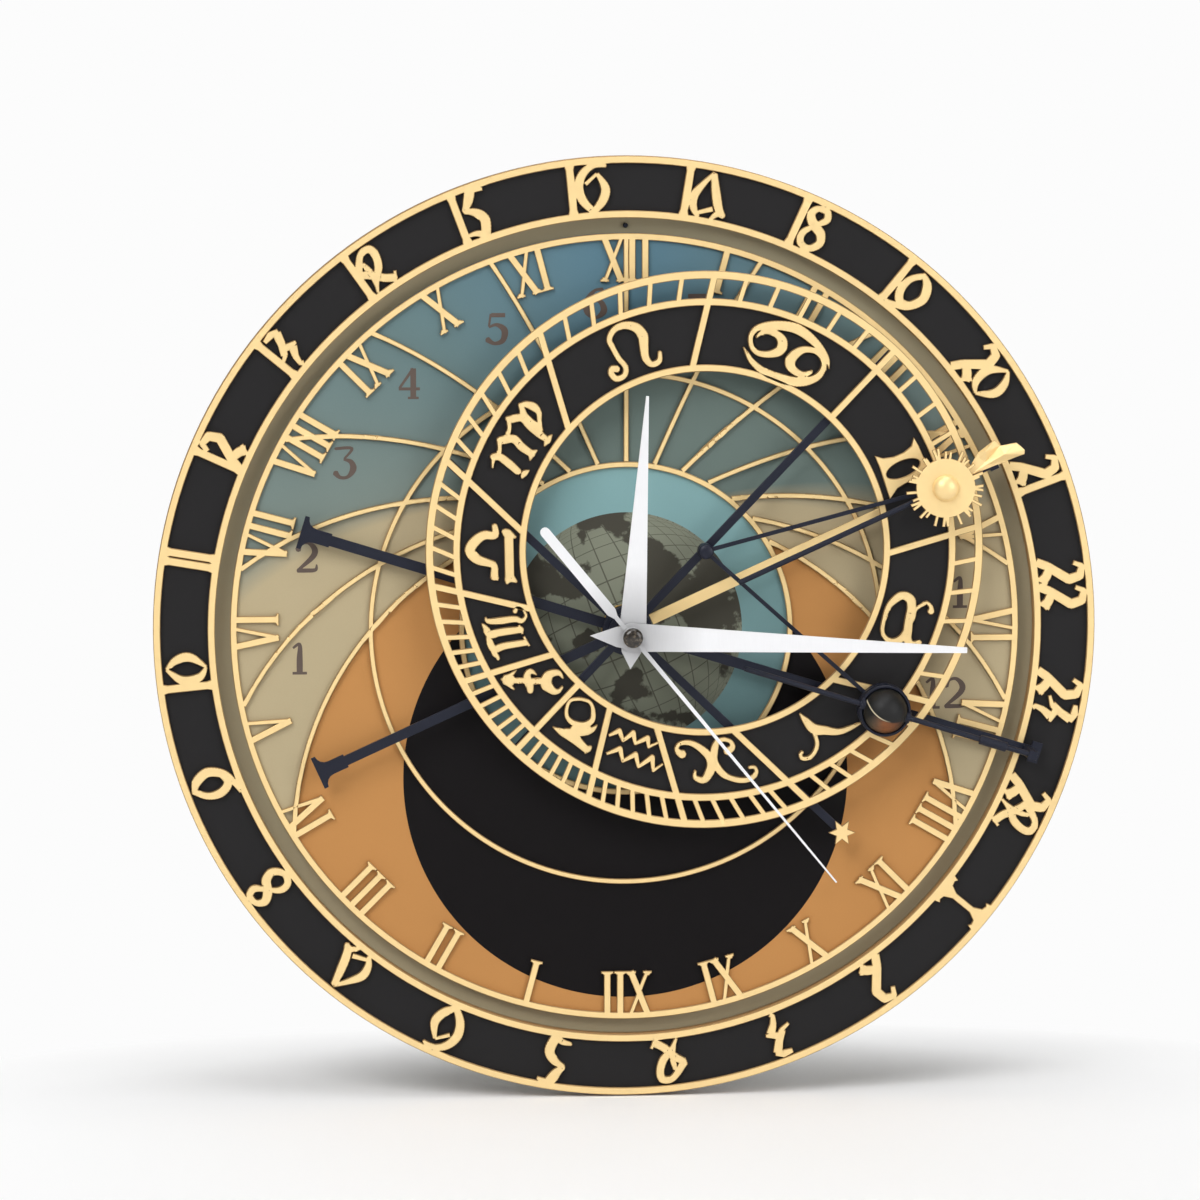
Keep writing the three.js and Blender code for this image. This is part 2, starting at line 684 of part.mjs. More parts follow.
// A carriage with a round bore for its rod and a pin below for the link's eye.
function makeCarriage() {
  const half = ROD_R + SEAT + CARRIAGE_WALL;
  const block = plate(box(-CARRIAGE_L / 2, -CARRIAGE_W / 2, CARRIAGE_L / 2, CARRIAGE_W / 2), 2 * half);
  const bore = shaft(ROD_R + SEAT, -CARRIAGE_L, CARRIAGE_L, 16).rotateY(Math.PI / 2);
  const pinEnd = sunLinkBack + SEAT - (sunRodZ - half);
  const parts = [block.translate(0, 0, -half), shaft(PIVOT_R, pinEnd - half, 0, 12)];
  return join(parts, [bore]);
}

function makeLink(length, bore, endEye) {
  const parts = [
    plate(circle(KNOB_R, 12), LINK_T),
    plate(box(0, -LINK_W / 2, length - endEye + LINK_W / 2, LINK_W / 2), LINK_T),
  ];
  const cuts = [shaft(PIVOT_R + SEAT, -1, LINK_T + 1, 12)];
  if (bore > 0) {
    parts.push(plate(circle(endEye, 16, length), LINK_T));
    cuts.push(shaft(bore, -1, LINK_T + 1, 12).translate(length, 0, 0));
  }
  return join(parts, cuts);
}

// The moon's link ends in a cup that holds the ball below its rod.
function makeMoonLink() {
  const inner = BALL_R + LINK_PLAY * 0.6;
  const outer = inner + CUP_WALL;
  const top = ballZ - ROD_R - SLEEVE_WALL - 2 * SEAT - moonLinkBack;
  const floorBall = Math.sqrt(BALL_R ** 2 - (ballZ - moonLinkBack - LINK_T) ** 2);
  const bore = floorBall + LINK_PLAY;
  const cup = lathe([[bore, 0], [outer, 0], [outer, top], [inner, top], [inner, LINK_T],
    [bore, LINK_T], [bore, 0]], 20);
  const parts = [
    plate(circle(KNOB_R, 12), LINK_T),
    plate(box(0, -LINK_W / 2, moonLinkL - bore - 0.5, LINK_W / 2), LINK_T),
    cup.translate(moonLinkL, 0, 0),
  ];
  return join(parts, [shaft(PIVOT_R + SEAT, -1, LINK_T + 1, 12)]);
}

// A round rod on a post, lying along x at its own height above the arm that carries it.
function makeRod(rodZ, armFront, postR, collarR) {
  const along = (geometry) => geometry.rotateY(Math.PI / 2).translate(0, 0, rodZ);
  const parts = [
    along(shaft(ROD_R, ROD_START_R, postR, 12)),
    plate(box(postR - POST_W / 2, -POST_W / 2, postR + POST_W / 2, POST_W / 2),
      rodZ + ROD_R + POST_CAP - armFront - SEAT, armFront + SEAT),
  ];
  if (collarR > 0) parts.push(along(shaft(COLLAR_R, collarR, collarR + COLLAR_L, 12)));
  return join(parts);
}

function makeBall() {
  const steps = 8;
  const profile = [];
  for (let i = 0; i <= steps; i++) profile.push(polar(BALL_R, -90 + (180 * i) / steps));
  profile[0][0] = 0;
  profile[steps][0] = 0;
  const ball = lathe(profile, 20);
  const bore = shaft(ROD_R + SLEEVE_WALL + 2 * SEAT, -BALL_R - 1, BALL_R + 1, 16);
  return join([ball], [bore]).rotateY(Math.PI / 2);
}

// A closed hand with its first finger out, seen flat, on a cuff.
function pointerOutline() {
  const l = POINTER_L;
  return [[0, -1.6], [0.28 * l, -1.9], [0.5 * l, -2.6], [0.68 * l, -2.3], [0.7 * l, -0.6], [l - 0.4, -0.3],
    [l, 0.3], [l - 0.5, 0.9], [0.66 * l, 1.2], [0.56 * l, 2.4], [0.44 * l, 2.7], [0.3 * l, 2], [0, 2]];
}

function makeHand(length, tail, width, tipW, bore) {
  const neck = width * 0.48;
  const tip = tipW / 2;
  const outline = [[-tail, 0], [-width * 0.55, -neck * 0.72], [width * 0.3, -neck],
    [length, -tip], [length, tip], [width * 0.3, neck], [-width * 0.55, neck * 0.72]];
  return join([plate(outline, HAND_T), plate(circle(width / 2, 20), HAND_T)],
    [shaft(bore, -1, HAND_T + 1, 12)]);
}

// The second hand's wide tail steps down over a shoulder to the needle, which narrows to its tip.
function makeSecondHand() {
  const side = [[-SECOND_TAIL_L, SECOND_TAIL_W / 2], [-SECOND_SHOULDER_R, SECOND_TAIL_W / 2],
    [-SECOND_SHOULDER_R + SECOND_SHOULDER_L, SECOND_NEEDLE_W / 2], [0, SECOND_NEEDLE_W / 2],
    [SECOND_HAND_L, SECOND_TIP_W / 2]];
  const mirrored = side.map(([x, y]) => [x, -y]);
  return join([plate(mirrored.concat(side.reverse()), SECOND_HAND_T),
    plate(circle(SECOND_TAIL_W / 2, 12, -SECOND_TAIL_L), SECOND_HAND_T),
    plate(circle(CAP_R - 0.5, 20), SECOND_HAND_T)],
    [shaft(SECOND_SHAFT_R + SEAT, -1, SECOND_HAND_T + 1, 12)]);
}

// Dial side, fixed
const axisHole = circle(bushHole, 16);
add("back_plate", plate(circle(plateR), PLATE_T, 0, [axisHole]), KHAKI, { z: plateBack });
add("dial_disc", plate(circle(dialR), DIAL_T, 0, [axisHole]), PRINT, { z: dialBack });
add("dial_fret", makeDialFret(), GOLD, { z: fretBack });
add("hour_ring", rim(ringR, ringInnerR, RING_BASE_T), GOLD, { z: ringBack });
add("hour_band", rim(ringR - RING_RIM_W / 2, ringInnerR + RING_RIM_W / 2, RING_BAND_T), BLACK,
  { z: bandBack });
add("hour_fret", makeHourFret(), GOLD, { z: ringFretBack });
add("rubber_washer", rim(HUB_R + 1, bushHole, RUBBER_T, 0, 16), RUBBER, { z: rubberBack });
add("dial_washer", rim(HUB_R, bushHole, DIAL_WASHER_T, 0, 16), BRASS, { z: fretBack });
add("hex_nut", plate(circle(NUT_R, 6), NUT_T, 0, [circle(bushHole, 16)]), BRASS, { z: nutBack });

// Zodiac ring
const zodiac = new THREE.Group();
clock.add(zodiac);
add("zodiac_spokes", makeSpokes(), NAVY, { z: spokesBack, group: zodiac });
add("zodiac_fret", makeZodiacFret(), GOLD, { z: zodiacFretBack, group: zodiac });
add("sign_fret", makeSignFret(), GOLD, { z: zodiacFretBack, group: zodiac });
add("zodiac_band", makeZodiacBand(), BLACK, { z: zodiacBack, group: zodiac });
const starPlace = polar(starPlaceR, ZODIAC_TURN - 90);
add("star", plate(starOutline(STAR_R, 6, 0.48), STAR_T), GOLD,
  { x: starPlace[0], y: starPlace[1], z: spokesBack + ARM_T + SEAT, group: zodiac });
const postNeck = zodiacFront;
const postKnob = linksFront + SEAT;
const postProfile = [[0, zodiacBack], [KNOB_R, zodiacBack], [KNOB_R, postNeck], [PIVOT_R, postNeck],
  [PIVOT_R, postKnob], [KNOB_R, postKnob], [KNOB_R, postKnob + KNOB_T * 0.6],
  [KNOB_R * 0.6, postKnob + KNOB_T], [0, postKnob + KNOB_T]];
add("link_post", lathe(postProfile, 12), NAVY, { x: knobPlace[0], y: knobPlace[1], group: zodiac });

// Sun and its arm
function carrierPlace(linkLength, turn) {
  const r = reach(linkLength, turn);
  const [x, y] = polar(r, turn);
  const linkTurn = (Math.atan2(y - knobPlace[1], x - knobPlace[0]) * 180) / Math.PI;
  return { r, linkTurn };
}

const sunArm = new THREE.Group();
sunArm.rotation.z = rad(SUN_TURN);
clock.add(sunArm);
const sunPlace = carrierPlace(sunLinkL, SUN_TURN);
add("sun_tail", makeTailArm(SPOKE_W + 0.6, 0), NAVY, { z: sunArmBack, group: sunArm });
const sunBarEnd = shaft(SUN_HOLE_R, -1, ARM_T + 1, 12).translate(sunBarR - 2 * SUN_HOLE_R, 0, 0);
const sunBar = join([makeBar(HUB_R + SEAT, sunBarR, SUN_BAR_W)], [sunBarEnd]);
add("sun_bar", sunBar, GOLD, { z: sunArmBack, group: sunArm });
add("sun_rod", makeRod(sunRodZ, sunArmBack + ARM_T, sunPostR, 0), NAVY, { group: sunArm });
add("sun_pointer", plate(pointerOutline(), POINTER_T), GOLD,
  { x: pointerR, z: sunRodZ + ROD_R + POST_CAP + SEAT, group: sunArm });
add("sun_carriage", makeCarriage(), GOLD, { x: sunPlace.r, z: sunRodZ, group: sunArm });
add("sun_disc", makeSunDisc(), GOLD, { x: sunPlace.r, z: sunDiscBack, group: sunArm });
add("sun_link", makeLink(sunLinkL, PIVOT_R + LINK_PLAY, LINK_EYE_R), NAVY,
  { x: knobPlace[0], y: knobPlace[1], z: sunLinkBack, turn: sunPlace.linkTurn });

// Moon and its arm
const moonArm = new THREE.Group();
moonArm.rotation.z = rad(MOON_TURN);
clock.add(moonArm);
const moonPlace = carrierPlace(moonLinkL, MOON_TURN);
add("moon_arm", makeTailArm(MOON_ARM_W, moonArmR), NAVY, { z: moonArmBack, group: moonArm });
add("moon_rod", makeRod(ballZ, moonArmBack + ARM_T, moonPostR, moonCollarR), NAVY,
  { group: moonArm });
const sleeve = tube(ROD_R + SEAT + SLEEVE_WALL, ROD_R + SEAT, -BALL_R - 1.4, BALL_R + 1.4, 16);
add("moon_sleeve", sleeve.rotateY(Math.PI / 2), NAVY, { x: moonPlace.r, z: ballZ, group: moonArm });
add("moon_ball", makeBall(), BLACK, { x: moonPlace.r, z: ballZ, group: moonArm });
add("moon_link", makeMoonLink(), NAVY,
  { x: knobPlace[0], y: knobPlace[1], z: moonLinkBack, turn: moonPlace.linkTurn });

// Retainer above the zodiac's hub
add("hub_retainer", tube(RETAINER_R, bushHole, 0, RETAINER_T, 16), BRASS,
  { z: spokesBack + ARM_T + RUN });

// Hands
add("hour_hand", makeHand(HOUR_HAND_L, HOUR_TAIL_L, HOUR_HAND_W, HOUR_TIP_W, hourTubeR + SEAT), SILVER,
  { z: hourBack, turn: HOUR_AT });
const minuteHand = makeHand(MINUTE_HAND_L, MINUTE_TAIL_L, MINUTE_HAND_W, MINUTE_TIP_W, minuteTubeR + SEAT);
add("minute_hand", minuteHand, SILVER, { z: minuteBack, turn: MINUTE_AT });
add("second_hand", makeSecondHand(), SILVER, { z: secondBack, turn: SECOND_AT });
const capProfile = [[0, 0], [CAP_R, 0], [CAP_R, CAP_T * 0.5], [CAP_R * 0.8, CAP_T * 0.85], [0, CAP_T]];
add("hand_cap", lathe(capProfile, 24), CAP, { z: capBack });

// Movement levels, from the case floor up
const rotorZ = CASE_WALL + GEAR_T + GEAR_STEP;
const secondsZ = rotorZ + GEAR_T + GEAR_STEP;
const bridgeZ = secondsZ + GEAR_T + GEAR_STEP;
const bridgeT = GEAR_T;
const turnZ = bridgeZ + bridgeT + GEAR_STEP / 2;
const hourZ = turnZ + GEAR_T + GEAR_STEP;
const arborFoot = CASE_WALL + SEAT;
const arborTop = coverBack - SEAT;

// Where the arbors stand
const thirdPlace = [-THIRD_DISTANCE, 0];
const rotorPlace = shifted([polar(ROTOR_DISTANCE, ROTOR_TURN)], ...thirdPlace)[0];
const knobAt = [TURN_DISTANCE, TURN_DISTANCE];

function gearWheel(teeth, distance, mate, turn, z, bore = 0) {
  const holes = bore > 0 ? [circle(bore, 12)] : [];
  return plate(gearOutline(teeth, distance, mate, turn), GEAR_T, z, holes);
}

// Minute and hour wheels on the axis
const wheelTurn = meshed(PINION_TEETH, 90, 90, WHEEL_TEETH);
const lowPinionTurn = meshed(HOUR_TEETH, 90, 90, LOW_PINION_TEETH);
const knobTurn = meshed(WHEEL_TEETH, wheelTurn, 0, PINION_TEETH);
const minuteTube = join([
  gearWheel(PINION_TEETH, TURN_DISTANCE, WHEEL_TEETH, 90, turnZ, minuteBore + 0.1),
  tube(minuteTubeR, minuteBore, turnZ, minuteBack + HAND_T + SEAT / 2, 12),
]);
add("minute_tube", minuteTube, BRASS);
const hourWheel = join([
  gearWheel(HOUR_TEETH, TURN_DISTANCE, LOW_PINION_TEETH, 90, hourZ, hourBore + 0.1),
  tube(hourTubeR, hourBore, hourZ, hourBack + HAND_T + SEAT / 2, 12),
]);
add("hour_wheel", hourWheel, GEAR);
const secondsWheel = join([
  gearWheel(SECONDS_TEETH, THIRD_DISTANCE, THIRD_PINION_TEETH, 180, secondsZ),
  shaft(SECOND_SHAFT_R, arborFoot, secondBack + SECOND_HAND_T, 8),
]);
add("seconds_wheel", secondsWheel, STEEL);

// Wheels on their own arbors
const intermediate = join([
  gearWheel(WHEEL_TEETH, TURN_DISTANCE, PINION_TEETH, wheelTurn, turnZ),
  gearWheel(LOW_PINION_TEETH, TURN_DISTANCE, HOUR_TEETH, lowPinionTurn, hourZ),
  shaft(ARBOR_R, arborFoot, arborTop, 8),
]);
add("intermediate_wheel", intermediate, GEAR, { y: TURN_DISTANCE });
const thirdPinionTurn = meshed(SECONDS_TEETH, 180, 180, THIRD_PINION_TEETH);
const third = join([
  gearWheel(THIRD_PINION_TEETH, THIRD_DISTANCE, SECONDS_TEETH, thirdPinionTurn, secondsZ),
  gearWheel(THIRD_TEETH, ROTOR_DISTANCE, ROTOR_TEETH, 0, rotorZ),
  shaft(ARBOR_R, arborFoot, bridgeZ - SEAT, 8),
]);
add("third_wheel", third, GEAR, { x: thirdPlace[0], y: thirdPlace[1] });
const rotorTurn = meshed(THIRD_TEETH, 0, ROTOR_TURN, ROTOR_TEETH);
const rotor = join([
  gearWheel(ROTOR_TEETH, ROTOR_DISTANCE, THIRD_TEETH, rotorTurn, rotorZ),
  shaft(MAGNET_R, secondsZ, secondsZ + GEAR_T, 16),
  shaft(ARBOR_R, arborFoot, bridgeZ - SEAT, 8),
]);
add("rotor", rotor, STEEL, { x: rotorPlace[0], y: rotorPlace[1] });
const knobFlangeZ = CASE_WALL + SEAT;
const settingKnob = join([
  gearWheel(PINION_TEETH, TURN_DISTANCE, WHEEL_TEETH, knobTurn, turnZ),
  shaft(SETTING_KNOB_R, SEAT, knobFlangeZ + 0.1, 20),
  shaft(SETTING_KNOB_R + SETTING_FLANGE_W, knobFlangeZ, knobFlangeZ + 1, 20),
  shaft(ARBOR_R + 0.5, knobFlangeZ, arborTop, 10),
]);
add("setting_knob", settingKnob, SHELL, { x: knobAt[0], y: knobAt[1] });

// Movement case: a back shell with a battery bay, and a front cover
const innerHalf = BATTERY_L / 2 + SEAT + CONTACT_T + CONTACT_PLAY;
const half = innerHalf + CASE_WALL;
const batteryY = -innerHalf + SEAT + BATTERY_R;
const batteryZ = BATTERY_R + SEAT;
const bayTop = batteryY + BATTERY_R + SEAT;
const shellHoles = [
  circle(SETTING_KNOB_R + RUN, 24, knobAt[0], knobAt[1]),
  box(-innerHalf, -innerHalf, innerHalf, bayTop),
];
const shellTop = coverBack - SEAT;
const pillar = { x: -half * 0.6, y: bayTop + BAY_WALL + 1.4, r: 1.2 };
const shell = join([
  plate(box(-half, -half, half, half), CASE_WALL, 0, shellHoles),
  plate(box(-half, -half, half, half), shellTop - CASE_WALL / 2, CASE_WALL / 2,
    [box(-innerHalf, -innerHalf, innerHalf, innerHalf)]),
  plate(box(-innerHalf - 0.2, bayTop, innerHalf + 0.2, bayTop + BAY_WALL), shellTop - CASE_WALL / 2,
    CASE_WALL / 2),
  shaft(pillar.r, CASE_WALL / 2, bridgeZ - SEAT, 12).translate(pillar.x, pillar.y, 0),
]);
add("movement_shell", shell, SHELL);
add("movement_cover", plate(box(-half, -half, half, half), COVER_T, 0, [axisHole]), SHELL,
  { z: coverBack });
const flangeBack = coverBack - SEAT - BUSH_FLANGE_T;
const bush = lathe([[bushBore, flangeBack], [BUSH_FLANGE_R, flangeBack],
  [BUSH_FLANGE_R, flangeBack + BUSH_FLANGE_T], [BUSH_R, flangeBack + BUSH_FLANGE_T],
  [BUSH_R, hourBack - RUN], [bushBore, hourBack - RUN], [bushBore, flangeBack]], 16);
add("bushing", bush, BRASS);

// Battery and its contacts
const cellBody = shaft(BATTERY_R, -BATTERY_L / 2, BATTERY_L / 2 - BATTERY_NUB_L, 24);
const cellNub = shaft(BATTERY_NUB_R, 0, BATTERY_L / 2, 12);
const battery = join([cellBody, cellNub]).rotateY(Math.PI / 2);
add("battery", battery, CELL, { y: batteryY, z: batteryZ });
const contact = (x) => {
  return plate(box(x, batteryY - 4, x + CONTACT_T, batteryY + 4), BATTERY_R + 4, CASE_WALL + SEAT);
};
add("contact_plus", contact(BATTERY_L / 2 + SEAT), STEEL);
add("contact_minus", contact(-BATTERY_L / 2 - SEAT - CONTACT_T), STEEL);

// Bridge, board, coil and stator
const bridgeEdge = bayTop + BAY_WALL + SEAT;
const bridge = plate(box(pillar.x - 2, bridgeEdge, 7, -bridgeEdge), bridgeT, 0,
  [circle(SECOND_SHAFT_R + RUN, 16)]);
add("train_bridge", bridge, GEAR, { z: bridgeZ });
const boardX = innerHalf - SEAT - BOARD_W;
add("circuit_board", plate(box(boardX, bridgeEdge, boardX + BOARD_W, bridgeEdge + BOARD_H), BOARD_T),
  BOARD, { z: rotorZ });
const crystal = shaft(1, -3, 3, 12).rotateX(Math.PI / 2);
add("quartz_crystal", crystal, STEEL,
  { x: innerHalf - 4, y: bridgeEdge + BOARD_H / 2, z: rotorZ + BOARD_T + SEAT + 1 });
const flangeR = COIL_R + 0.5;
const coilY = innerHalf - SEAT - flangeR - 1;
const coil = join([
  shaft(COIL_R, -COIL_L / 2, COIL_L / 2, 16),
  shaft(flangeR, -COIL_L / 2, -COIL_L / 2 + 0.8, 16),
  shaft(flangeR, COIL_L / 2 - 0.8, COIL_L / 2, 16),
]).rotateY(Math.PI / 2);
add("coil", coil, COPPER, { x: rotorPlace[0], y: coilY, z: arborFoot + flangeR });
const legX = COIL_L / 2 + SEAT;
const legTop = coilY - rotorPlace[1] + 2;
const poleR = MAGNET_R + RUN + 2;
const stator = join([
  plate(circle(poleR, 20), GEAR_T),
  plate(box(-legX - STATOR_W, -STATOR_W / 2, 0, STATOR_W / 2), GEAR_T),
  plate(box(-legX - STATOR_W, -STATOR_W / 2, -legX, legTop), GEAR_T),
  plate(box(-STATOR_W / 2, 0, STATOR_W / 2, poleR + STATOR_W), GEAR_T),
  plate(box(-STATOR_W / 2, poleR, legX + STATOR_W, poleR + STATOR_W), GEAR_T),
  plate(box(legX, poleR, legX + STATOR_W, legTop), GEAR_T),
], [shaft(MAGNET_R + RUN, -1, GEAR_T + 1, 16)]);
add("stator", stator, STEEL, { x: rotorPlace[0], y: rotorPlace[1], z: secondsZ });

// Hanger: a bent strip under the dial's nut, with an eye above the case for a wall hook
const tabZ = CASE_WALL;
const strip = new THREE.Group();
clock.add(strip);
const topY = half + SEAT;
const side = [[-HUB_R, 0], [topY + HANGER_T, 0], [topY + HANGER_T, -(hangerBack - tabZ - HANGER_T)],
  [topY + HANGER_TAB_L, -(hangerBack - tabZ - HANGER_T)], [topY + HANGER_TAB_L, -(hangerBack - tabZ)],
  [topY, -(hangerBack - tabZ)], [topY, -HANGER_T], [-HUB_R, -HANGER_T]];
const eyeY = topY + HANGER_TAB_L - 2 - HANGER_EYE_H;
const hangerStrip = plate(side.map(([y, z]) => [z + HANGER_T, y]).reverse(), HANGER_W, -HANGER_W / 2)
  .rotateY(-Math.PI / 2);
const hanger = join([hangerStrip], [
  shaft(bushHole, -1, HANGER_T + 1, 24),
  plate(box(-HANGER_EYE_W / 2, eyeY, HANGER_EYE_W / 2, eyeY + HANGER_EYE_H), 10,
    -(hangerBack - tabZ) - 5),
]);
add("hanger", hanger, STEEL, { z: hangerBack });

export default clock;
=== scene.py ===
"""Astronomical wall clock: the finishes, gilt frets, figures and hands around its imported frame."""

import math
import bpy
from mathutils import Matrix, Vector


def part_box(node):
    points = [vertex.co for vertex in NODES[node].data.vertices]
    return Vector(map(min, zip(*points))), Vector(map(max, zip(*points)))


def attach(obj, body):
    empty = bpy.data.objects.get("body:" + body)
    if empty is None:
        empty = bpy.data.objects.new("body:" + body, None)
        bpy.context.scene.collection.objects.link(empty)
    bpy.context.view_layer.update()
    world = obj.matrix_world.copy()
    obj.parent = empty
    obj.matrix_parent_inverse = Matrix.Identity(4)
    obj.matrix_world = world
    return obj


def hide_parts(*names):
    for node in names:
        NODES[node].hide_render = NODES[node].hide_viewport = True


bl_info = {
    "name": "Astronomical Wall Clock",
    "version": (1, 0, 0),
    "blender": (4, 5, 0),
    "location": "View3D > Sidebar > Wall Clock",
    "description": "Dresses the clock's frame with its dial, gilt frets, signs, carriers and hands",
    "category": "Object",
}

import bpy
import numpy as np
from bpy.props import FloatProperty, FloatVectorProperty, IntProperty, PointerProperty
from bpy.types import Operator, Panel, PropertyGroup
from mathutils import Vector
from mathutils.geometry import delaunay_2d_cdt

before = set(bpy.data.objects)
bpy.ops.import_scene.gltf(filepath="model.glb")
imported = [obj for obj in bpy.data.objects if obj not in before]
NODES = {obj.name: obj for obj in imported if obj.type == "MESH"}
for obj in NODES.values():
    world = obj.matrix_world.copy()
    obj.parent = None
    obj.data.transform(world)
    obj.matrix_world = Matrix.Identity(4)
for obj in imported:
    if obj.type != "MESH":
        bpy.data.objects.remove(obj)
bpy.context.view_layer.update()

# Lengths on the face are in millimetres: x to the right, y up, seen from the front
MM = 0.001
# Sides of the large rings and discs
ROUND = 192
# Depth of the finest grain in a finish, in millimetres
GRAIN_DEPTH = 0.1


def low(node):
    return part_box(node)[0]


def high(node):
    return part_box(node)[1]


def radius_of(node):
    return high(node).x / MM


def levels(node):
    """A node's back and front, as distances out of the wall."""
    return -high(node).y / MM, -low(node).y / MM


def middle(node):
    """The middle of a node's box on the face."""
    a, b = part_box(node)
    return (a.x + b.x) / 2 / MM, (a.z + b.z) / 2 / MM


# Sizes and colours


def length(name, description, default):
    return FloatProperty(name=name, description=description, default=default, unit="LENGTH")


def angle(name, description, degrees):
    return FloatProperty(
        name=name, description=description, default=math.radians(degrees), subtype="ANGLE", unit="ROTATION"
    )


def colour(name, description, red, green, blue):
    """A colour setting, given as it looks on screen from 0 to 255."""
    return FloatVectorProperty(
        name=name, description=description, subtype="COLOR_GAMMA", size=3, min=0, max=1,
        default=(red / 255, green / 255, blue / 255),
    )


class ClockSizes(PropertyGroup):
    """Sizes of the pieces that are drawn around the frame."""

    equator: length("Equator radius", "Middle circle of the dial's projection", 0.092)
    latitude: angle("Latitude", "Place that the dial is drawn for", 50)
    obliquity: angle("Obliquity", "Tilt of the sun's path", 23.5)
    night_radius: length("Night radius", "Black disc of full night on the dial", 0.0805)
    night_drop: length("Night drop", "How far that disc's centre lies below the axis", 0.054)
    earth_radius: length("Earth radius", "Printed globe in the middle of the dial", 0.042)
    dial_line: length("Outer line", "Width of the dial's outer gilt circle", 0.0024)
    arc_line: length("Arc line", "Width of the thin gilt arcs and circles", 0.0018)
    inner_line: length("Inner line", "Width of the gilt circle round the globe", 0.002)
    numeral_height: length("Numeral height", "Roman numerals on the dial", 0.0156)
    rim: length("Ring rim", "Gilt rims of the 24-hour ring", 0.0026)
    ring_band: length("Ring band", "Black band between those rims", 0.0169)
    figure_width: length("Figure width", "Widest hour figure on the ring", 0.0086)
    zodiac_turn: angle("Zodiac turn", "Where the zodiac ring's centre stands", 46.4)
    sun_turn: angle("Sun turn", "Where the sun's arm stands", 24.5)
    moon_turn: angle("Moon turn", "Where the moon's arm stands", -17.2)
    degree_bar: length("Degree bar", "Width of the bars between the zodiac's degree windows", 0.0018)
    sign_bar: length("Sign bar", "Width of the bars between the signs", 0.0024)
    chamfer: length("Chamfer", "Softened edge of the gilt sheets", 0.00026)
    sun_rays: IntProperty(name="Sun rays", description="Rays round the sun's disc", default=27, min=8)


class ClockColours(PropertyGroup):
    """Colours of the clock's finishes."""

    gold: colour("Gilt", "Face of the gilt sheets", 244, 213, 152)
    # Gilt edge: partly the cut sides' own darker colour, partly painted shade
    gold_edge: colour("Gilt edge", "Cut edges of the gilt sheets", 150, 110, 62)
    black: colour("Black panel", "Bands behind figures and signs", 27, 26, 27)
    navy: colour("Dark steel", "Arms, rods and links", 28, 31, 44)
    khaki: colour("Back plate", "Plate in the channel round the dial", 156, 146, 118)
    # The dial's sky colours below are set darker than the print itself: painted shade of the recessed dial
    zenith: colour("Noon sky", "Sky at the top of the dial", 83, 116, 132)
    forenoon: colour("Forenoon sky", "Sky halfway down the dial", 95, 117, 119)
    low_sky: colour("Low sky", "Sky of the last hours before the horizon", 113, 125, 119)
    # Painted shadow: the zodiac ring's shadow, as a darker, greyer sky inside it
    inner_sky: colour("Inner sky", "Sky between the globe and the equator", 98, 112, 107)
    dawn: colour("Dawn", "Sky just above the horizon", 171, 157, 126)
    twilight: colour("Twilight", "Below the horizon, round the night", 180, 129, 76)
    night: colour("Night", "Black disc at the bottom of the dial", 20, 18, 19)
    sea: colour("Air ring", "Ring between the globe and the inner circle", 124, 160, 162)
    globe: colour("Globe", "Ground colour of the printed globe", 128, 132, 116)
    land: colour("Land", "Land on the printed globe", 72, 70, 62)
    print: colour("Print", "Printed figures on the dial", 84, 70, 62)
    silver: colour("Hands", "Hour, minute and second hands", 236, 236, 238)
    # A painted reflection in the black moon
    glow: colour("Moon glow", "Bronze reflection in the moon", 140, 84, 44)
    crescent: colour("Crescent", "Thin pale line on the moon", 214, 202, 170)
    floor: colour("Floor", "Pale floor and backdrop", 252, 252, 252)


def sizes():
    return bpy.context.scene.clock_sizes


def colours():
    return bpy.context.scene.clock_colours


def linear(value):
    """A colour as it looks on screen, or a grey from 0 to 255, as the numbers that a shader takes."""
    if isinstance(value, (int, float)):
        value = (value / 255,) * 3
    return tuple(c / 12.92 if c <= 0.04045 else ((c + 0.055) / 1.055) ** 2.4 for c in value) + (1.0,)


# Shader sums


class Value:
    """One number, point or colour in a material, on which sums are written as Python expressions."""

    def __init__(self, finish, output):
        self.finish = finish
        self.output = output

    def math(self, operation, *values):
        return self.finish.node("ShaderNodeMath", {"operation": operation}, list(values))

    def __add__(self, other):
        return self.math("ADD", self, other)

    def __sub__(self, other):
        return self.math("SUBTRACT", self, other)

    def __rsub__(self, other):
        return self.math("SUBTRACT", other, self)

    def __mul__(self, other):
        return self.math("MULTIPLY", self, other)

    def __truediv__(self, other):
        return self.math("DIVIDE", self, other)

    def __rtruediv__(self, other):
        return self.math("DIVIDE", other, self)

    def __lt__(self, other):
        return self.math("LESS_THAN", self, other)

    def __gt__(self, other):
        return self.math("GREATER_THAN", self, other)

    __radd__ = __add__
    __rmul__ = __mul__

    def of(self, operation, *others):
        return self.math(operation, self, *others)

    def ease(self, start, end):
        """0 below start, 1 above end, and a straight rise between them."""
        settings = {"clamp": True}
        return self.finish.node("ShaderNodeMapRange", settings, [self, start, end, 0.0, 1.0])

    def part(self, axis):
        """One part of a point, by its axis X, Y or Z."""
        return self.finish.node("ShaderNodeSeparateXYZ", None, [self], axis)


def distance(across, up):
    """How far a place lies from the point that both values are measured from."""
    return (across * across + up * up).of("SQRT")


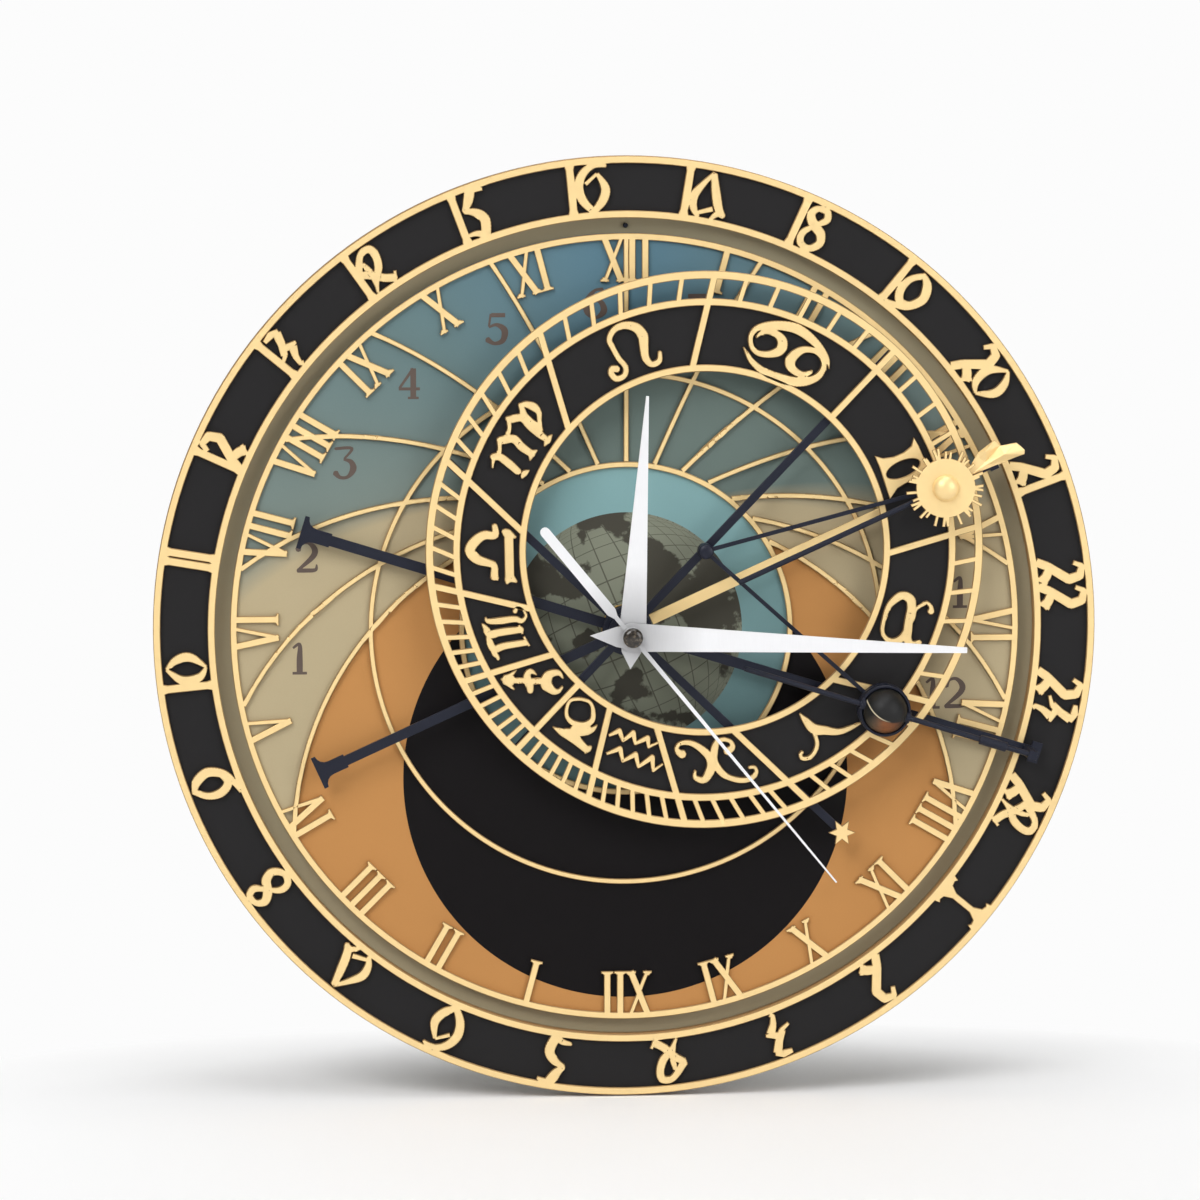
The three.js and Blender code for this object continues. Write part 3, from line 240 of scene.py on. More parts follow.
class Finish:
    """A material in the making: its Principled shader and whatever feeds it."""

    def __init__(self, name, roughness=0.5, metallic=0.0, coat=0.0, specular=0.5):
        self.material = bpy.data.materials.new(name)
        self.material.use_nodes = True
        self.tree = self.material.node_tree
        self.shader = self.tree.nodes["Principled BSDF"]
        self.shader.inputs["Roughness"].default_value = roughness
        self.shader.inputs["Metallic"].default_value = metallic
        self.shader.inputs["Coat Weight"].default_value = coat
        self.shader.inputs["Specular IOR Level"].default_value = specular

    def node(self, kind, settings=None, inputs=(), output=0):
        made = self.tree.nodes.new(kind)
        for key, setting in (settings or {}).items():
            if key == "stops":
                self.set_stops(made.color_ramp, setting)
            else:
                setattr(made, key, setting)
        pairs = inputs.items() if isinstance(inputs, dict) else enumerate(inputs)
        for key, item in pairs:
            self.feed(made.inputs[key], item)
        return Value(self, made.outputs[output])

    def feed(self, socket, item):
        if isinstance(item, Value):
            self.tree.links.new(item.output, socket)
        elif isinstance(item, tuple):
            socket.default_value = item[: len(socket.default_value)]
        else:
            socket.default_value = item

    def set_stops(self, ramp, stops):
        for index, (place, shade) in enumerate(stops):
            stop = ramp.elements[index] if index < 2 else ramp.elements.new(place)
            stop.position = place
            stop.color = shade

    def place(self):
        """The point on the piece, in millimetres, with Y into the wall and Z up."""
        here = self.node("ShaderNodeTexCoord", output="Object")
        return self.node("ShaderNodeVectorMath", {"operation": "SCALE"}, {0: here, "Scale": 1 / MM})

    def noise(self, at, scale, detail, stretch=None):
        """Cloudy noise from 0 to 1, with scale in spots for each millimetre."""
        if stretch:
            at = self.node("ShaderNodeMapping", None, {"Vector": at, "Scale": stretch})
        return self.node("ShaderNodeTexNoise", None, {"Vector": at, "Scale": scale, "Detail": detail})

    def mix(self, amount, first, second):
        settings = {"data_type": "RGBA"}
        inputs = {"Factor": amount, 6: first, 7: second}
        return self.node("ShaderNodeMix", settings, inputs, output=2)

    def shade(self, paint, factor):
        """A colour made lighter or darker by a number near 1."""
        settings = {"operation": "SCALE"}
        return self.node("ShaderNodeVectorMath", settings, {0: paint, "Scale": factor})

    def bump(self, height, strength):
        inputs = {"Height": height, "Strength": strength, "Distance": GRAIN_DEPTH * MM}
        self.feed(self.shader.inputs["Normal"], self.node("ShaderNodeBump", None, inputs))

    def paint(self, value):
        self.feed(self.shader.inputs["Base Color"], value)

    def set(self, socket, value):
        self.feed(self.shader.inputs[socket], value)


# Finishes


def speckled(name, shade, roughness, metallic, coat, depth, scale, bump=0.06, specular=0.5):
    """A plain finish with the faint clouding and grain of a painted or moulded surface."""
    finish = Finish(name, roughness, metallic, coat, specular)
    at = finish.place()
    cloud = finish.noise(at, 0.05, 4.0)
    grain = finish.noise(at, scale, 2.0)
    finish.paint(finish.shade(shade, 1 - depth / 2 + (cloud * 0.6 + grain * 0.4) * depth))
    finish.set("Roughness", roughness - 0.05 + grain * 0.1)
    finish.bump(grain, bump)
    return finish.material


def brushed(name, shade, roughness, metallic, stretch):
    """Metal brushed along one direction, which stretch gives as small against the other two."""
    finish = Finish(name, roughness, metallic)
    at = finish.place()
    streaks = finish.noise(at, 3.0, 3.0, stretch)
    cloud = finish.noise(at, 0.04, 3.0)
    finish.paint(finish.shade(shade, 0.95 + (streaks * 0.6 + cloud * 0.4) * 0.1))
    finish.set("Roughness", roughness - 0.06 + streaks * 0.12)
    finish.bump(streaks, 0.05)
    return finish.material


# The hands are greyer from the hub's edge out to here
HUB_SHADE = (5.0, 26.0)


def hand_metal():
    """Pale brushed metal, greyer round the hub."""
    finish = Finish("hand_metal", 0.38, 0.3)
    at = finish.place()
    streaks = finish.noise(at, 3.0, 3.0, (1.0, 1.0, 0.08))
    from_hub = distance(at.part("X"), at.part("Z"))
    light = 0.5 + from_hub.ease(*HUB_SHADE) * 0.46 + streaks * 0.06
    finish.paint(finish.shade(linear(colours().silver), light))
    finish.set("Roughness", 0.3 + streaks * 0.14)
    finish.bump(streaks, 0.04)
    return finish.material


def gilt(name, edge_shade_amount=0.8):
    """Satin gilt sheet: pale on its face, browner down its cut edges, partly their own darker colour and
    partly painted shade, with a soft mottled wear.
    """
    finish = Finish(name, 0.42, 0.4)
    at = finish.place()
    mottle = finish.noise(at, 0.35, 4.0)
    cloud = finish.noise(at, 0.03, 2.0)
    face = finish.shade(linear(colours().gold), 0.93 + mottle * 0.09 + cloud * 0.05)
    # Edges that face away from the front turn brown: painted shade, partly the cut sides' real darker colour
    facing = finish.node("ShaderNodeTexCoord", output="Normal").part("Y")
    edge = 1 - facing.of("ABSOLUTE").ease(0.72, 0.95)
    finish.paint(finish.mix(edge * edge_shade_amount, face, linear(colours().gold_edge)))
    finish.set("Roughness", 0.36 + mottle * 0.14)
    finish.bump(finish.noise(at, 1.6, 2.0), 0.05)
    return finish.material


# The dial's print: its edge, and the centre and blend of the zodiac ring's painted shadow, a darker, greyer
# sky that blends into the outer one
PRINT_EDGE = 142
RING_SHADOW_CENTRE = (25, 25)
RING_SHADOW_EDGE = (70, 90)


def dial_print():
    """The printed dial: sky by the sun's unequal hours, twilight, night, and the globe in the middle."""
    tint = colours()
    size = sizes()
    finish = Finish("dial_print", 0.62, specular=0.08)
    at = finish.place()
    x, z = at.part("X"), at.part("Z")
    r = distance(x, z)
    equator = size.equator / MM
    declination = (r / equator).of("ARCTANGENT") * 2 - math.pi / 2
    sunset = (declination.of("TANGENT") * -math.tan(size.latitude)).of("MAXIMUM", -0.9999)
    from_noon = x.of("ABSOLUTE").of("ARCTAN2", z) / sunset.of("MINIMUM", 0.9999).of("ARCCOSINE")
    cloud = finish.noise(at, 0.02, 3.0)
    light = 0.94 + cloud * 0.1 + (r / PRINT_EDGE).of("MINIMUM", 1.0) * 0.02
    sky = finish.shade(sky_print(finish, x, z, from_noon), light)
    below = finish.shade(linear(tint.twilight), 0.95 + cloud * 0.1)
    ground = finish.mix((from_noon - 1).ease(-0.004, 0.004), sky, below)
    from_night = distance(x, z + size.night_drop / MM)
    ground = finish.mix(from_night < size.night_radius / MM, ground, linear(tint.night))
    # Painted shade: the air ring is darker towards its bottom and lower right, where the zodiac ring's
    # shadow falls
    air_painted_shade = finish.shade(linear(tint.sea), 0.86 + z * 0.0022 - (x - z).ease(15, 70) * 0.24)
    inside = finish.mix(r < size.earth_radius / MM, air_painted_shade, globe_print(finish, at, x, z, r))
    ground = finish.mix(r < equator / tropic(), ground, inside)
    grain = finish.noise(at, 1.8, 2.0)
    finish.paint(finish.shade(ground, 0.97 + grain * 0.06))
    finish.bump(grain, 0.03)
    return finish.material


def sky_print(finish, x, z, from_noon):
    """The sky's colours from noon, which is 0, to the horizon at 1; greyer and darker inside the zodiac, as
    the ring's painted shadow.
    """
    tint = colours()
    dawn = [(0.70, linear(tint.dawn)), (1.0, linear(tint.dawn))]
    outer = [(0.0, linear(tint.zenith)), (0.3, linear(tint.forenoon)), (0.64, linear(tint.low_sky))]
    inner = [(0.0, linear(tint.inner_sky)), (0.6, linear(tint.inner_sky))]
    share = (from_noon + x.ease(100, 135) * 0.13) * 0.98
    outer_sky = finish.node("ShaderNodeValToRGB", {"stops": outer + dawn}, [share])
    inner_sky = finish.node("ShaderNodeValToRGB", {"stops": inner + dawn}, [share])
    # Painted shadow of the zodiac ring: the darker sky round its resting place
    from_shadow_centre = distance(x - RING_SHADOW_CENTRE[0], z - RING_SHADOW_CENTRE[1])
    return finish.mix(from_shadow_centre.ease(*RING_SHADOW_EDGE), inner_sky, outer_sky)


def globe_print(finish, at, x, z, r):
    """Generic land and a net of meridians and parallels on the printed globe."""
    tint = colours()
    radius = sizes().earth_radius / MM
    land = finish.noise(at, 0.045, 5.0).ease(0.52, 0.54)
    ground = finish.mix(land, linear(tint.globe), linear(tint.land))
    bulge = (1 - (r / radius * r / radius).of("MINIMUM", 0.98)).of("SQRT")
    across = (x * 0.92 + z * 0.38) / (bulge + 0.55)
    along = (z * 0.92 - x * 0.38) / (bulge + 0.55)
    lines = finish.node("ShaderNodeMath", {"operation": "MAXIMUM"}, [grid_line(across), grid_line(along)])
    ground = finish.mix(lines * 0.75, ground, linear(tint.land))
    # Darker towards the globe's bottom and towards its edge
    return finish.shade(ground, 0.72 + z.ease(-30, 12) * 0.28 - (r / radius) * 0.1)


# The globe's net: its pitch, and the share of it that a line takes
NET_PITCH = 6.2
NET_LINE = 0.06


def grid_line(across):
    """1 along the lines of an even net, 0 between them."""
    return (across / NET_PITCH).of("FRACT") < NET_LINE


# The moon's crescent: its curve's centre from the moon's own, the curve's radius, and the line's half width
CRESCENT_CENTRE = (2.9, 6.6)
CRESCENT_R = 10.0
CRESCENT_LINE = 0.3


def moon_gloss():
    """Black glass with a thin pale crescent at its left and a painted bronze reflection below that line."""
    tint = colours()
    finish = Finish("moon_gloss", 0.5, 0.0, specular=0.3)
    at = finish.place()
    cx, cz = middle("moon_ball")
    x, z = at.part("X") - cx, at.part("Z") - cz
    from_curve = distance(x - CRESCENT_CENTRE[0], z - CRESCENT_CENTRE[1]) - CRESCENT_R
    # Painted reflection: a bronze patch in the black below the crescent, greyer towards its left
    glow = (1 - distance((x + 1.0) * 0.14, (z + 4.6) * 0.2)).ease(0.0, 0.7)
    mottle = finish.noise(at, 0.6, 4.0)
    bronze = finish.mix(x.ease(-6, -1), linear((0.4, 0.36, 0.3)), linear(tint.glow))
    below = from_curve.ease(0.0, 0.5)
    ground = finish.mix(glow * below * (0.35 + mottle * 0.75), linear(20), bronze)
    line_at = 1 - (from_curve / CRESCENT_LINE).of("ABSOLUTE").of("MINIMUM", 1.0)
    fade = (1.5 - x).ease(0.0, 4.0)
    finish.paint(finish.mix(line_at * fade, ground, linear(tint.crescent)))
    finish.set("Roughness", 0.46 + mottle * 0.1)
    return finish.material


def cap_gloss():
    """The dark mottled boss over the hands."""
    finish = Finish("cap_gloss", 0.3, 0.4, 0.6)
    mottle = finish.noise(finish.place(), 0.9, 5.0)
    stops = [
        (0.35, linear((0.06, 0.055, 0.05))),
        (0.55, linear((0.2, 0.17, 0.14))),
        (0.7, linear((0.42, 0.38, 0.32))),
    ]
    finish.paint(finish.node("ShaderNodeValToRGB", {"stops": stops}, [mottle]))
    finish.set("Roughness", 0.22 + mottle * 0.2)
    finish.bump(mottle, 0.2)
    return finish.material


WIRE_PITCH = 0.22


def wound_wire():
    """Fine copper turns side by side along the coil, darker between the turns as painted shade."""
    finish = Finish("coil_wire", 0.35, 0.9)
    turns = (finish.place().part("X") * (math.tau / WIRE_PITCH)).of("SINE") * 0.5 + 0.5
    # Painted shade: the colour darkens between the turns
    finish.paint(finish.shade(linear((0.72, 0.42, 0.24)), 0.6 + turns * 0.5))
    finish.bump(turns, 0.6)
    return finish.material


def board_print():
    """Green board with pale tracks."""
    finish = Finish("board_green", 0.45)
    at = finish.place()
    tracks = ((at.part("X") * 0.7).of("FRACT") < 0.22) * (finish.noise(at, 0.2, 1.0) > 0.48)
    finish.paint(finish.mix(tracks, linear((0.16, 0.38, 0.24)), linear((0.32, 0.56, 0.36))))
    return finish.material


def make_finishes():
    """Every finish once, by the name of its slot in the record."""
    tint = colours()
    return {
        "gilt_sheet": gilt("gilt_sheet"),
        "gilt_ring": gilt("gilt_ring", 0.9),
        "gilt_round": gilt("gilt_round", 0.0),
        "black_panel": speckled("black_panel", linear(tint.black), 0.55, 0.0, 0.0, 0.16, 1.5, specular=0.2),
        "navy_paint": speckled("navy_paint", linear(tint.navy), 0.42, 0.2, 0.0, 0.2, 1.2, specular=0.3),
        "khaki_back": speckled("khaki_back", linear(tint.khaki), 0.7, 0.0, 0.0, 0.12, 1.0),
        "dial_print": dial_print(),
        "case_plastic": speckled("case_plastic", linear(34), 0.55, 0.0, 0.0, 0.2, 1.6, 0.25),
        "gear_plastic": speckled("gear_plastic", linear((0.88, 0.86, 0.8)), 0.5, 0.0, 0.0, 0.08, 0.8),
        "board_green": board_print(),
        "moon_gloss": moon_gloss(),
        "cap_gloss": cap_gloss(),
        "hand_metal": hand_metal(),
        "cell_jacket": speckled("cell_jacket", linear(66), 0.3, 0.4, 0.4, 0.14, 0.6),
        "brass_fitting": brushed("brass_fitting", linear((0.78, 0.63, 0.36)), 0.35, 0.9, (1.0, 0.1, 1.0)),
        "coil_wire": wound_wire(),
        "plain_steel": brushed("plain_steel", linear(168), 0.36, 0.9, (0.08, 1.0, 1.0)),
        "washer_rubber": speckled("washer_rubber", linear(40), 0.85, 0.0, 0.0, 0.2, 1.4, 0.2),
        "dial_figures": speckled("dial_figures", linear(tint.print), 0.7, 0.0, 0.0, 0.15, 1.0),
    }


finishes = {}


# Shapes on the face


def area(points):
    """Twice a panel's area, above zero where it runs counter-clockwise."""
    return sum(x0 * y1 - x1 * y0 for (x0, y0), (x1, y1) in zip(points, points[1:] + points[:1]))


def polar(r, degrees):
    """A place by its distance and its direction from the axis."""
    return (r * math.cos(math.radians(degrees)), r * math.sin(math.radians(degrees)))


def turned(points, degrees, centre=(0, 0)):
    """Points turned about the axis and then moved by a centre."""
    c = math.cos(math.radians(degrees))
    s = math.sin(math.radians(degrees))
    return [(centre[0] + x * c - y * s, centre[1] + x * s + y * c) for x, y in points]


def moved(points, x, y):
    return [(px + x, py + y) for px, py in points]


def circle(r, steps, centre):
    """A round panel with this many sides."""
    return moved([polar(r, 360 * i / steps) for i in range(steps)], *centre)


def ring_panels(outer, inner, centre=(0, 0), steps=ROUND):
    """A flat ring as panels side by side."""
    panels = []
    for i in range(steps):
        a, b = 360 * i / steps, 360 * (i + 1) / steps
        panels.append(moved([polar(inner, a), polar(outer, a), polar(outer, b), polar(inner, b)], *centre))
    return panels


def between(a, b, c, d, t):
    """A value on the smooth curve through four others, from b at t = 0 to c at t = 1."""
    bend = (2 * a - 5 * b + 4 * c - d) * t * t
    return 0.5 * (2 * b + (c - a) * t + bend + (3 * b - a - 3 * c + d) * t ** 3)


def smooth(points, steps):
    """A curve through all the points of a stroke, which may each carry more values than two."""
    if len(points) < 3:
        return list(points)
    row = [points[0], *points, points[-1]]
    curve = []
    for i in range(1, len(row) - 2):
        p, q, r, s = row[i - 1 : i + 3]
        for k in range(steps):
            t = k / steps
            curve.append(tuple(between(*near, t) for near in zip(p, q, r, s)))
    curve.append(points[-1])
    return curve


def brush(points):
    """A stroke as panels, from points that each hold x, y and the stroke's width there."""
    panels = []
    for (x0, y0, w0), (x1, y1, w1) in zip(points, points[1:]):
        run = math.hypot(x1 - x0, y1 - y0)
        if run < 1e-6:
            continue
        nx, ny = (y0 - y1) / run / 2, (x1 - x0) / run / 2
        panels.append([
            (x0 + nx * w0, y0 + ny * w0), (x0 - nx * w0, y0 - ny * w0),
            (x1 - nx * w1, y1 - ny * w1), (x1 + nx * w1, y1 + ny * w1),
        ])
    for x, y, w in points[1:-1]:
        panels.append(circle(w / 2, 8, (x, y)))
    return panels


def line(points, width):
    """A stroke of one width."""
    return brush([(x, y, width) for x, y in points])


# Solids, modelled with Blender's own tools

# Corners nearer than this are made one, in millimetres
SHEET_WELD = 0.03
TURNED_WELD = 0.002
NODE_WELD = 0.001


def deselect():
    if bpy.context.object and bpy.context.object.mode != "OBJECT":
        bpy.ops.object.mode_set(mode="OBJECT")
    bpy.ops.object.select_all(action="DESELECT")


def pick(piece):
    """Makes one piece the only one selected, and active."""
    deselect()
    piece.select_set(True)
    bpy.context.view_layer.objects.active = piece


def from_points(name, points, faces, edges=()):
    """A new piece in the scene, picked and active."""
    mesh = bpy.data.meshes.new(name)
    mesh.from_pydata(points, edges, faces)
    piece = bpy.data.objects.new(name, mesh)
    bpy.context.scene.collection.objects.link(piece)
    pick(piece)
    return piece


def edit(piece):
    """Opens a piece for editing, with all of it selected."""
    pick(piece)
    bpy.ops.object.mode_set(mode="EDIT")
    bpy.ops.mesh.select_mode(type="FACE")
    bpy.ops.mesh.select_all(action="SELECT")


def finish_edit():
    bpy.ops.object.mode_set(mode="OBJECT")


def use_finish(piece, slot_name, body, replaced=(), look=None):
    """Gives a finished piece its material, and says what it rides on and stands for."""
    if not piece.data.polygons:
        raise RuntimeError(piece.name + " has no faces")
    piece.data.materials.clear()
    piece.data.materials.append(finishes[look or slot_name])
    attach(piece, body)
    if replaced:
        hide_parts(*replaced)
    return piece


def covered(places, panels):
    """Whether each place lies in any of the panels."""
    inside = np.zeros(len(places), bool)
    for panel in panels:
        corners = np.array(panel)
        lowest, highest = corners.min(0), corners.max(0)
        near = np.flatnonzero(((places >= lowest) & (places <= highest)).all(1))
        x, y = places[near].T
        odd = np.zeros(len(near), bool)
        for (x0, y0), (x1, y1) in zip(corners, np.roll(corners, -1, 0)):
            if y0 != y1:
                odd ^= ((y0 > y) != (y1 > y)) & (x < x0 + (y - y0) * (x1 - x0) / (y1 - y0))
        inside[near] |= odd
    return inside


def sheet(name, panels, back, front, chamfer=None, holes=()):
    """A flat sheet cut to the joined outline of its panels, less its holes, with a softened front edge."""
    if chamfer is None:
        chamfer = sizes().chamfer / MM
    points, rings = [], []
    for panel in list(panels) + list(holes):
        rings.append(list(range(len(points), len(points) + len(panel))))
        points += [Vector(p) for p in (panel if area(panel) > 0 else reversed(panel))]
    made = delaunay_2d_cdt(points, [], rings, 0, 1e-5)
    centres = np.array([sum((made[0][i] for i in face), Vector((0, 0))) / len(face) for face in made[2]])
    keep = covered(centres, panels) & ~covered(centres, holes)
    faces = [face for face, kept in zip(made[2], keep) if kept]
    corners = [(p.x * MM, -back * MM, p.y * MM) for p in made[0]]
    piece = from_points(name, corners, faces)
    edit(piece)
    bpy.ops.mesh.remove_doubles(threshold=SHEET_WELD * MM)
    bpy.ops.mesh.delete_loose()
    finish_edit()
    face_outwards(piece)
    if sum(f.normal.y for f in piece.data.polygons) > 0:
        edit(piece)
        bpy.ops.mesh.flip_normals()
        finish_edit()
    edit(piece)
    rise = (0, -(front - back - chamfer) * MM, 0)
    bpy.ops.mesh.extrude_region_move(TRANSFORM_OT_translate={"value": rise})
    if chamfer > 0:
        bpy.ops.mesh.inset(thickness=chamfer * MM, depth=chamfer * MM, use_even_offset=False)
    finish_edit()
    face_outwards(piece)
    return piece


def face_outwards(piece):
    edit(piece)
    bpy.ops.mesh.normals_make_consistent(inside=False)
    finish_edit()


def revolve(name, profile, centre=(0, 0, 0), axis=(0, -1, 0), start=(1, 0, 0), steps=ROUND, sharp=30):
    """A turned piece; its profile's points are distances from the axis and along it."""
    axis = Vector(axis).normalized()
    start = Vector(start).normalized()
    origin = Vector(centre)
    points = [(origin + start * r + axis * t) * MM for r, t in profile]
    edges = [(i, i + 1) for i in range(len(points) - 1)]
    piece = from_points(name, points, [], edges)
    edit(piece)
    bpy.ops.mesh.spin(steps=steps, angle=math.tau, center=origin * MM, axis=axis)
    bpy.ops.mesh.select_all(action="SELECT")
    bpy.ops.mesh.remove_doubles(threshold=TURNED_WELD * MM)
    bpy.ops.mesh.normals_make_consistent(inside=False)
    finish_edit()
    bpy.ops.object.shade_smooth_by_angle(angle=math.radians(sharp))
    return piece


def softened(r0, r1, t0, t1, edge):
    """The profile of a ring with its corners taken off."""
    return [
        (r0 + edge, t0), (r1 - edge, t0), (r1, t0 + edge), (r1, t1 - edge), (r1 - edge, t1),
        (r0 + edge, t1), (r0, t1 - edge), (r0, t0 + edge), (r0 + edge, t0),
    ]


def turned_like(node, name, inner, outer, edge, slot_name, body="case", centre=(0, 0, 0)):
    """A ring with softened corners that stands for a node and is as thick."""
    back, front = levels(node)
    ring = revolve(name, softened(inner, outer, back, front, edge), centre)
    return use_finish(ring, slot_name, body, [node])


def dome(r, foot, top, steps, fullness=1.0):
    """The profile of a dome from its rim to the axis; below 1 its shoulder is fuller than a ball's."""
    row = []
    for step in range(1, steps):
        turn = math.radians(90 * step / steps)
        row.append((r * math.cos(turn) ** fullness, foot + (top - foot) * math.sin(turn)))
    return row + [(0, top)]


def gilt_fret(node, name, panels, body, also=()):
    """A gilt sheet that stands for a fret of the frame."""
    back, front = levels(node)
    return use_finish(sheet(name, panels, back, front), "gilt_sheet", body, [node, *also])


def dress(node, slot_name, bevel):
    """Finishes a CAD node where it is: its material, and corners taken off by modifiers."""
    piece = NODES[node]
    piece.data.materials.clear()
    piece.data.materials.append(finishes[slot_name])
    if bevel > 0:
        weld = piece.modifiers.new("weld", "WELD")
        weld.merge_threshold = NODE_WELD * MM
        soft = piece.modifiers.new("corners", "BEVEL")
        soft.width = bevel * MM
        soft.segments = 2
        soft.limit_method = "ANGLE"
        soft.angle_limit = math.radians(35)
        soft.use_clamp_overlap = True
    return piece


# Dial geometry


def tropic():
    """The outer tropic's radius over the equator's, and the equator's over the inner tropic's."""
    return math.tan(math.pi / 4 + sizes().obliquity / 2)


def half_day(declination):
    """How far the sun turns from noon to its setting, in degrees."""
    return math.degrees(math.acos(-math.tan(sizes().latitude) * math.tan(declination)))


def unequal_hour(hour, steps=24):
    """The arc of one twelfth of daylight, from the inner to the outer tropic."""
    share = (6 - hour) / 6
    tilt = sizes().obliquity
    arc = []
    for i in range(steps + 1):
        declination = -tilt + 2 * tilt * i / steps
        r = sizes().equator / MM * math.tan(math.pi / 4 + declination / 2)
        arc.append(polar(r, 90 + half_day(declination) * share))
    return arc


def serif(x, width):
    """A slab across a stroke's foot, with a flare over it."""
    top = 0.9
    slab = [(x - width / 2, 0), (x + width / 2, 0), (x + width / 2, top), (x - width / 2, top)]
    wide, narrow = width * 0.4, width * 0.2
    flare = [(x - wide, top), (x + wide, top), (x + narrow, top + 0.8), (x - narrow, top + 0.8)]
    return [slab, flare]


def numeral_letter(letter):
    """Panels of one Roman letter, and its width; feet stand inwards at y = 0."""
    h = sizes().numeral_height / MM
    thick, thin = 2.4, 1.4
    if letter == "I":
        return line([(0, 0), (0, h)], thick) + serif(0, 4.4), 4.7
    if letter == "V":
        return line([(-3.1, h), (0.2, 0)], thick) + line([(3.3, h), (0.2, 0)], thin), 8.6
    strokes = line([(-3.1, h), (3.1, 0)], thick) + line([(3.0, h), (-3.0, 0)], thin)
    return strokes + serif(-3.0, 3.2) + serif(3.1, 4.0), 9.0


ROMAN = ["I", "II", "III", "IV", "V", "VI", "VII", "VIII", "IX", "X", "XI", "XII"]
# How far the numerals run in under the dial's outer circle
NUMERAL_LAP = 0.5
# Degrees from one hour to the next on both rings, and where the outer ring's count starts
HOUR_TURN = 15
RING_START = -24.5


def roman_numeral(text):
    """Panels of a numeral, its letters side by side about the middle."""
    letters = [numeral_letter(letter) for letter in text]
    x = -sum(width for shapes, width in letters) / 2
    panels = []
    for shapes, width in letters:
        panels += [moved(shape, x + width / 2, 0) for shape in shapes]
        x += width
    return panels


# Hour figures of the 24-hour ring: strokes as x, y and width on a field this wide and high
FIELD = (8.6, 17)
FIGURES = {
    "2": [
        [(-4.5, 13, 1.4), (-3, 16, 1.8), (0.5, 15, 2.8), (1.5, 11, 3), (-4, 3.5, 2.8), (-6, -0.5, 2.6)],
        [(-3.5, 4.5, 2.6), (0, 2.5, 3), (1.5, 0.5, 3)],
        [(2.5, 3, 1.2), (0, -0.5, 1.2)],
    ],
    "3": [
        [(-4, 15.5, 1.4), (-0.5, 15.5, 2.4), (2.5, 14.5, 1.2)],
        [(1.5, 14.5, 2.8), (-0.5, 10.5, 2.6), (-3, 7, 2.2)],
        [(-2.5, 9, 2), (0.5, 8, 2.2), (3.5, 7, 1)],
        [(1.5, 7, 2.8), (-0.5, 4, 2.2), (-1.5, 1, 1.5), (-0.5, 0, 1.5)],
        [(-2.5, 7, 1.5), (-6, 5.5, 1)],
    ],
    "4": [
        [(-5.5, 9, 2.6), (-2.5, 13, 2.2), (0, 15, 2.2), (3, 14.5, 2.6), (3.5, 11.5, 2.6), (2, 7.5, 2.6),
         (-1, 4.5, 2), (-3.5, 0, 1)],
        [(-5.5, 9, 2.4), (-2, 6.5, 2.4), (1.5, 3, 2.6), (4.5, 1, 2.6)],
        [(6, 3, 1), (4, -0.5, 1)],
        [(-2, 11.5, 1.4), (-1.5, 7, 1.8), (-3, 0.5, 1)],
    ],
    "5": [
        [(1, 17, 3.2), (-1, 13.5, 3), (-3.5, 10.5, 1.4)],
        [(-3.5, 10.5, 1.4), (0, 9, 2.6), (2.5, 5.5, 3.2), (1, 0, 3)],
        [(-5, 2, 1), (-1.5, 1.5, 2), (1.5, -0.5, 2.4)],
        [(2, 17, 2), (5.5, 16, 1)],
    ],
    "6": [
        [(7, 16, 1.2), (2.5, 16.5, 2), (-1.5, 14, 2.6), (-3.5, 9.5, 3), (-2.5, 4.5, 2.8), (1, 0, 2)],
        [(1, 0, 1.8), (4.5, 3.5, 2.8), (6, 8, 2.8), (3.5, 13.5, 1.2)],
        [(3.5, 13.5, 1), (-1, 10, 1.2)],
    ],
    "7": [
        [(2.5, 16.5, 1), (-1, 11.5, 2), (-3.5, 7, 2.8), (-3, 3, 2.4), (-1, 0, 1.4)],
        [(2.5, 16, 2), (4, 10, 2.8), (6, 4, 2.8), (8, 1.5, 1.8)],
        [(-2, 1, 1.2), (4, 3.5, 1.6)],
        [(3.5, -0.5, 1), (6, 2, 2), (8, 1, 1)],
    ],
    "8": [
        [(2, 16, 2.2), (-1.5, 15.5, 2), (-3, 12.5, 2.8), (-0.5, 9.5, 3), (3, 7.5, 3), (4, 4, 2.6),
         (1, 1, 2.2), (-2.5, 2, 2.4), (-3, 5.5, 2.2), (0, 9.5, 1.5), (3, 13, 2.4), (2, 16, 2.2)],
    ],
    "9": [
        [(-5.5, 0, 0.8), (-1, 1, 2), (3, 3.5, 2.6), (5.5, 8.5, 3), (4, 13, 3), (1, 15.5, 1.8)],
        [(1, 16, 1.8), (-2.5, 11.5, 2.2), (-3, 6.5, 2.8), (-0.5, 3, 2.6), (3, 4.5, 1.4)],
    ],
    "0": [
        [(1, 15.5, 1), (4, 11.5, 2.6), (4.5, 6.5, 2.8), (0.5, 1, 1)],
        [(1, 15.5, 1), (-3.5, 10, 2.8), (-3, 4, 2.6), (0.5, 1, 1)],
    ],
}
ANGULAR_FIGURES = "23"
# Strokes are drawn this much wider than their shown width, for the softened edge on either side
STROKE_WEIGHT = 1.22


def figure(digit, alone):
    """A figure's panels, drawn from the ring's inner rim outwards; alone, it stands in the middle."""
    size = sizes()
    across = size.figure_width / MM / FIELD[0]
    up = size.ring_band / MM / FIELD[1]
    strokes = FIGURES[digit]
    places = [x for stroke in strokes for x, y, w in stroke]
    shift = (min(places) + max(places)) / 2 if alone else 0
    panels = []
    for stroke in strokes:
        placed = [((x - shift) * across, y * up, w * STROKE_WEIGHT) for x, y, w in stroke]
        panels += brush(placed if digit in ANGULAR_FIGURES else smooth(placed, 6))
    return panels


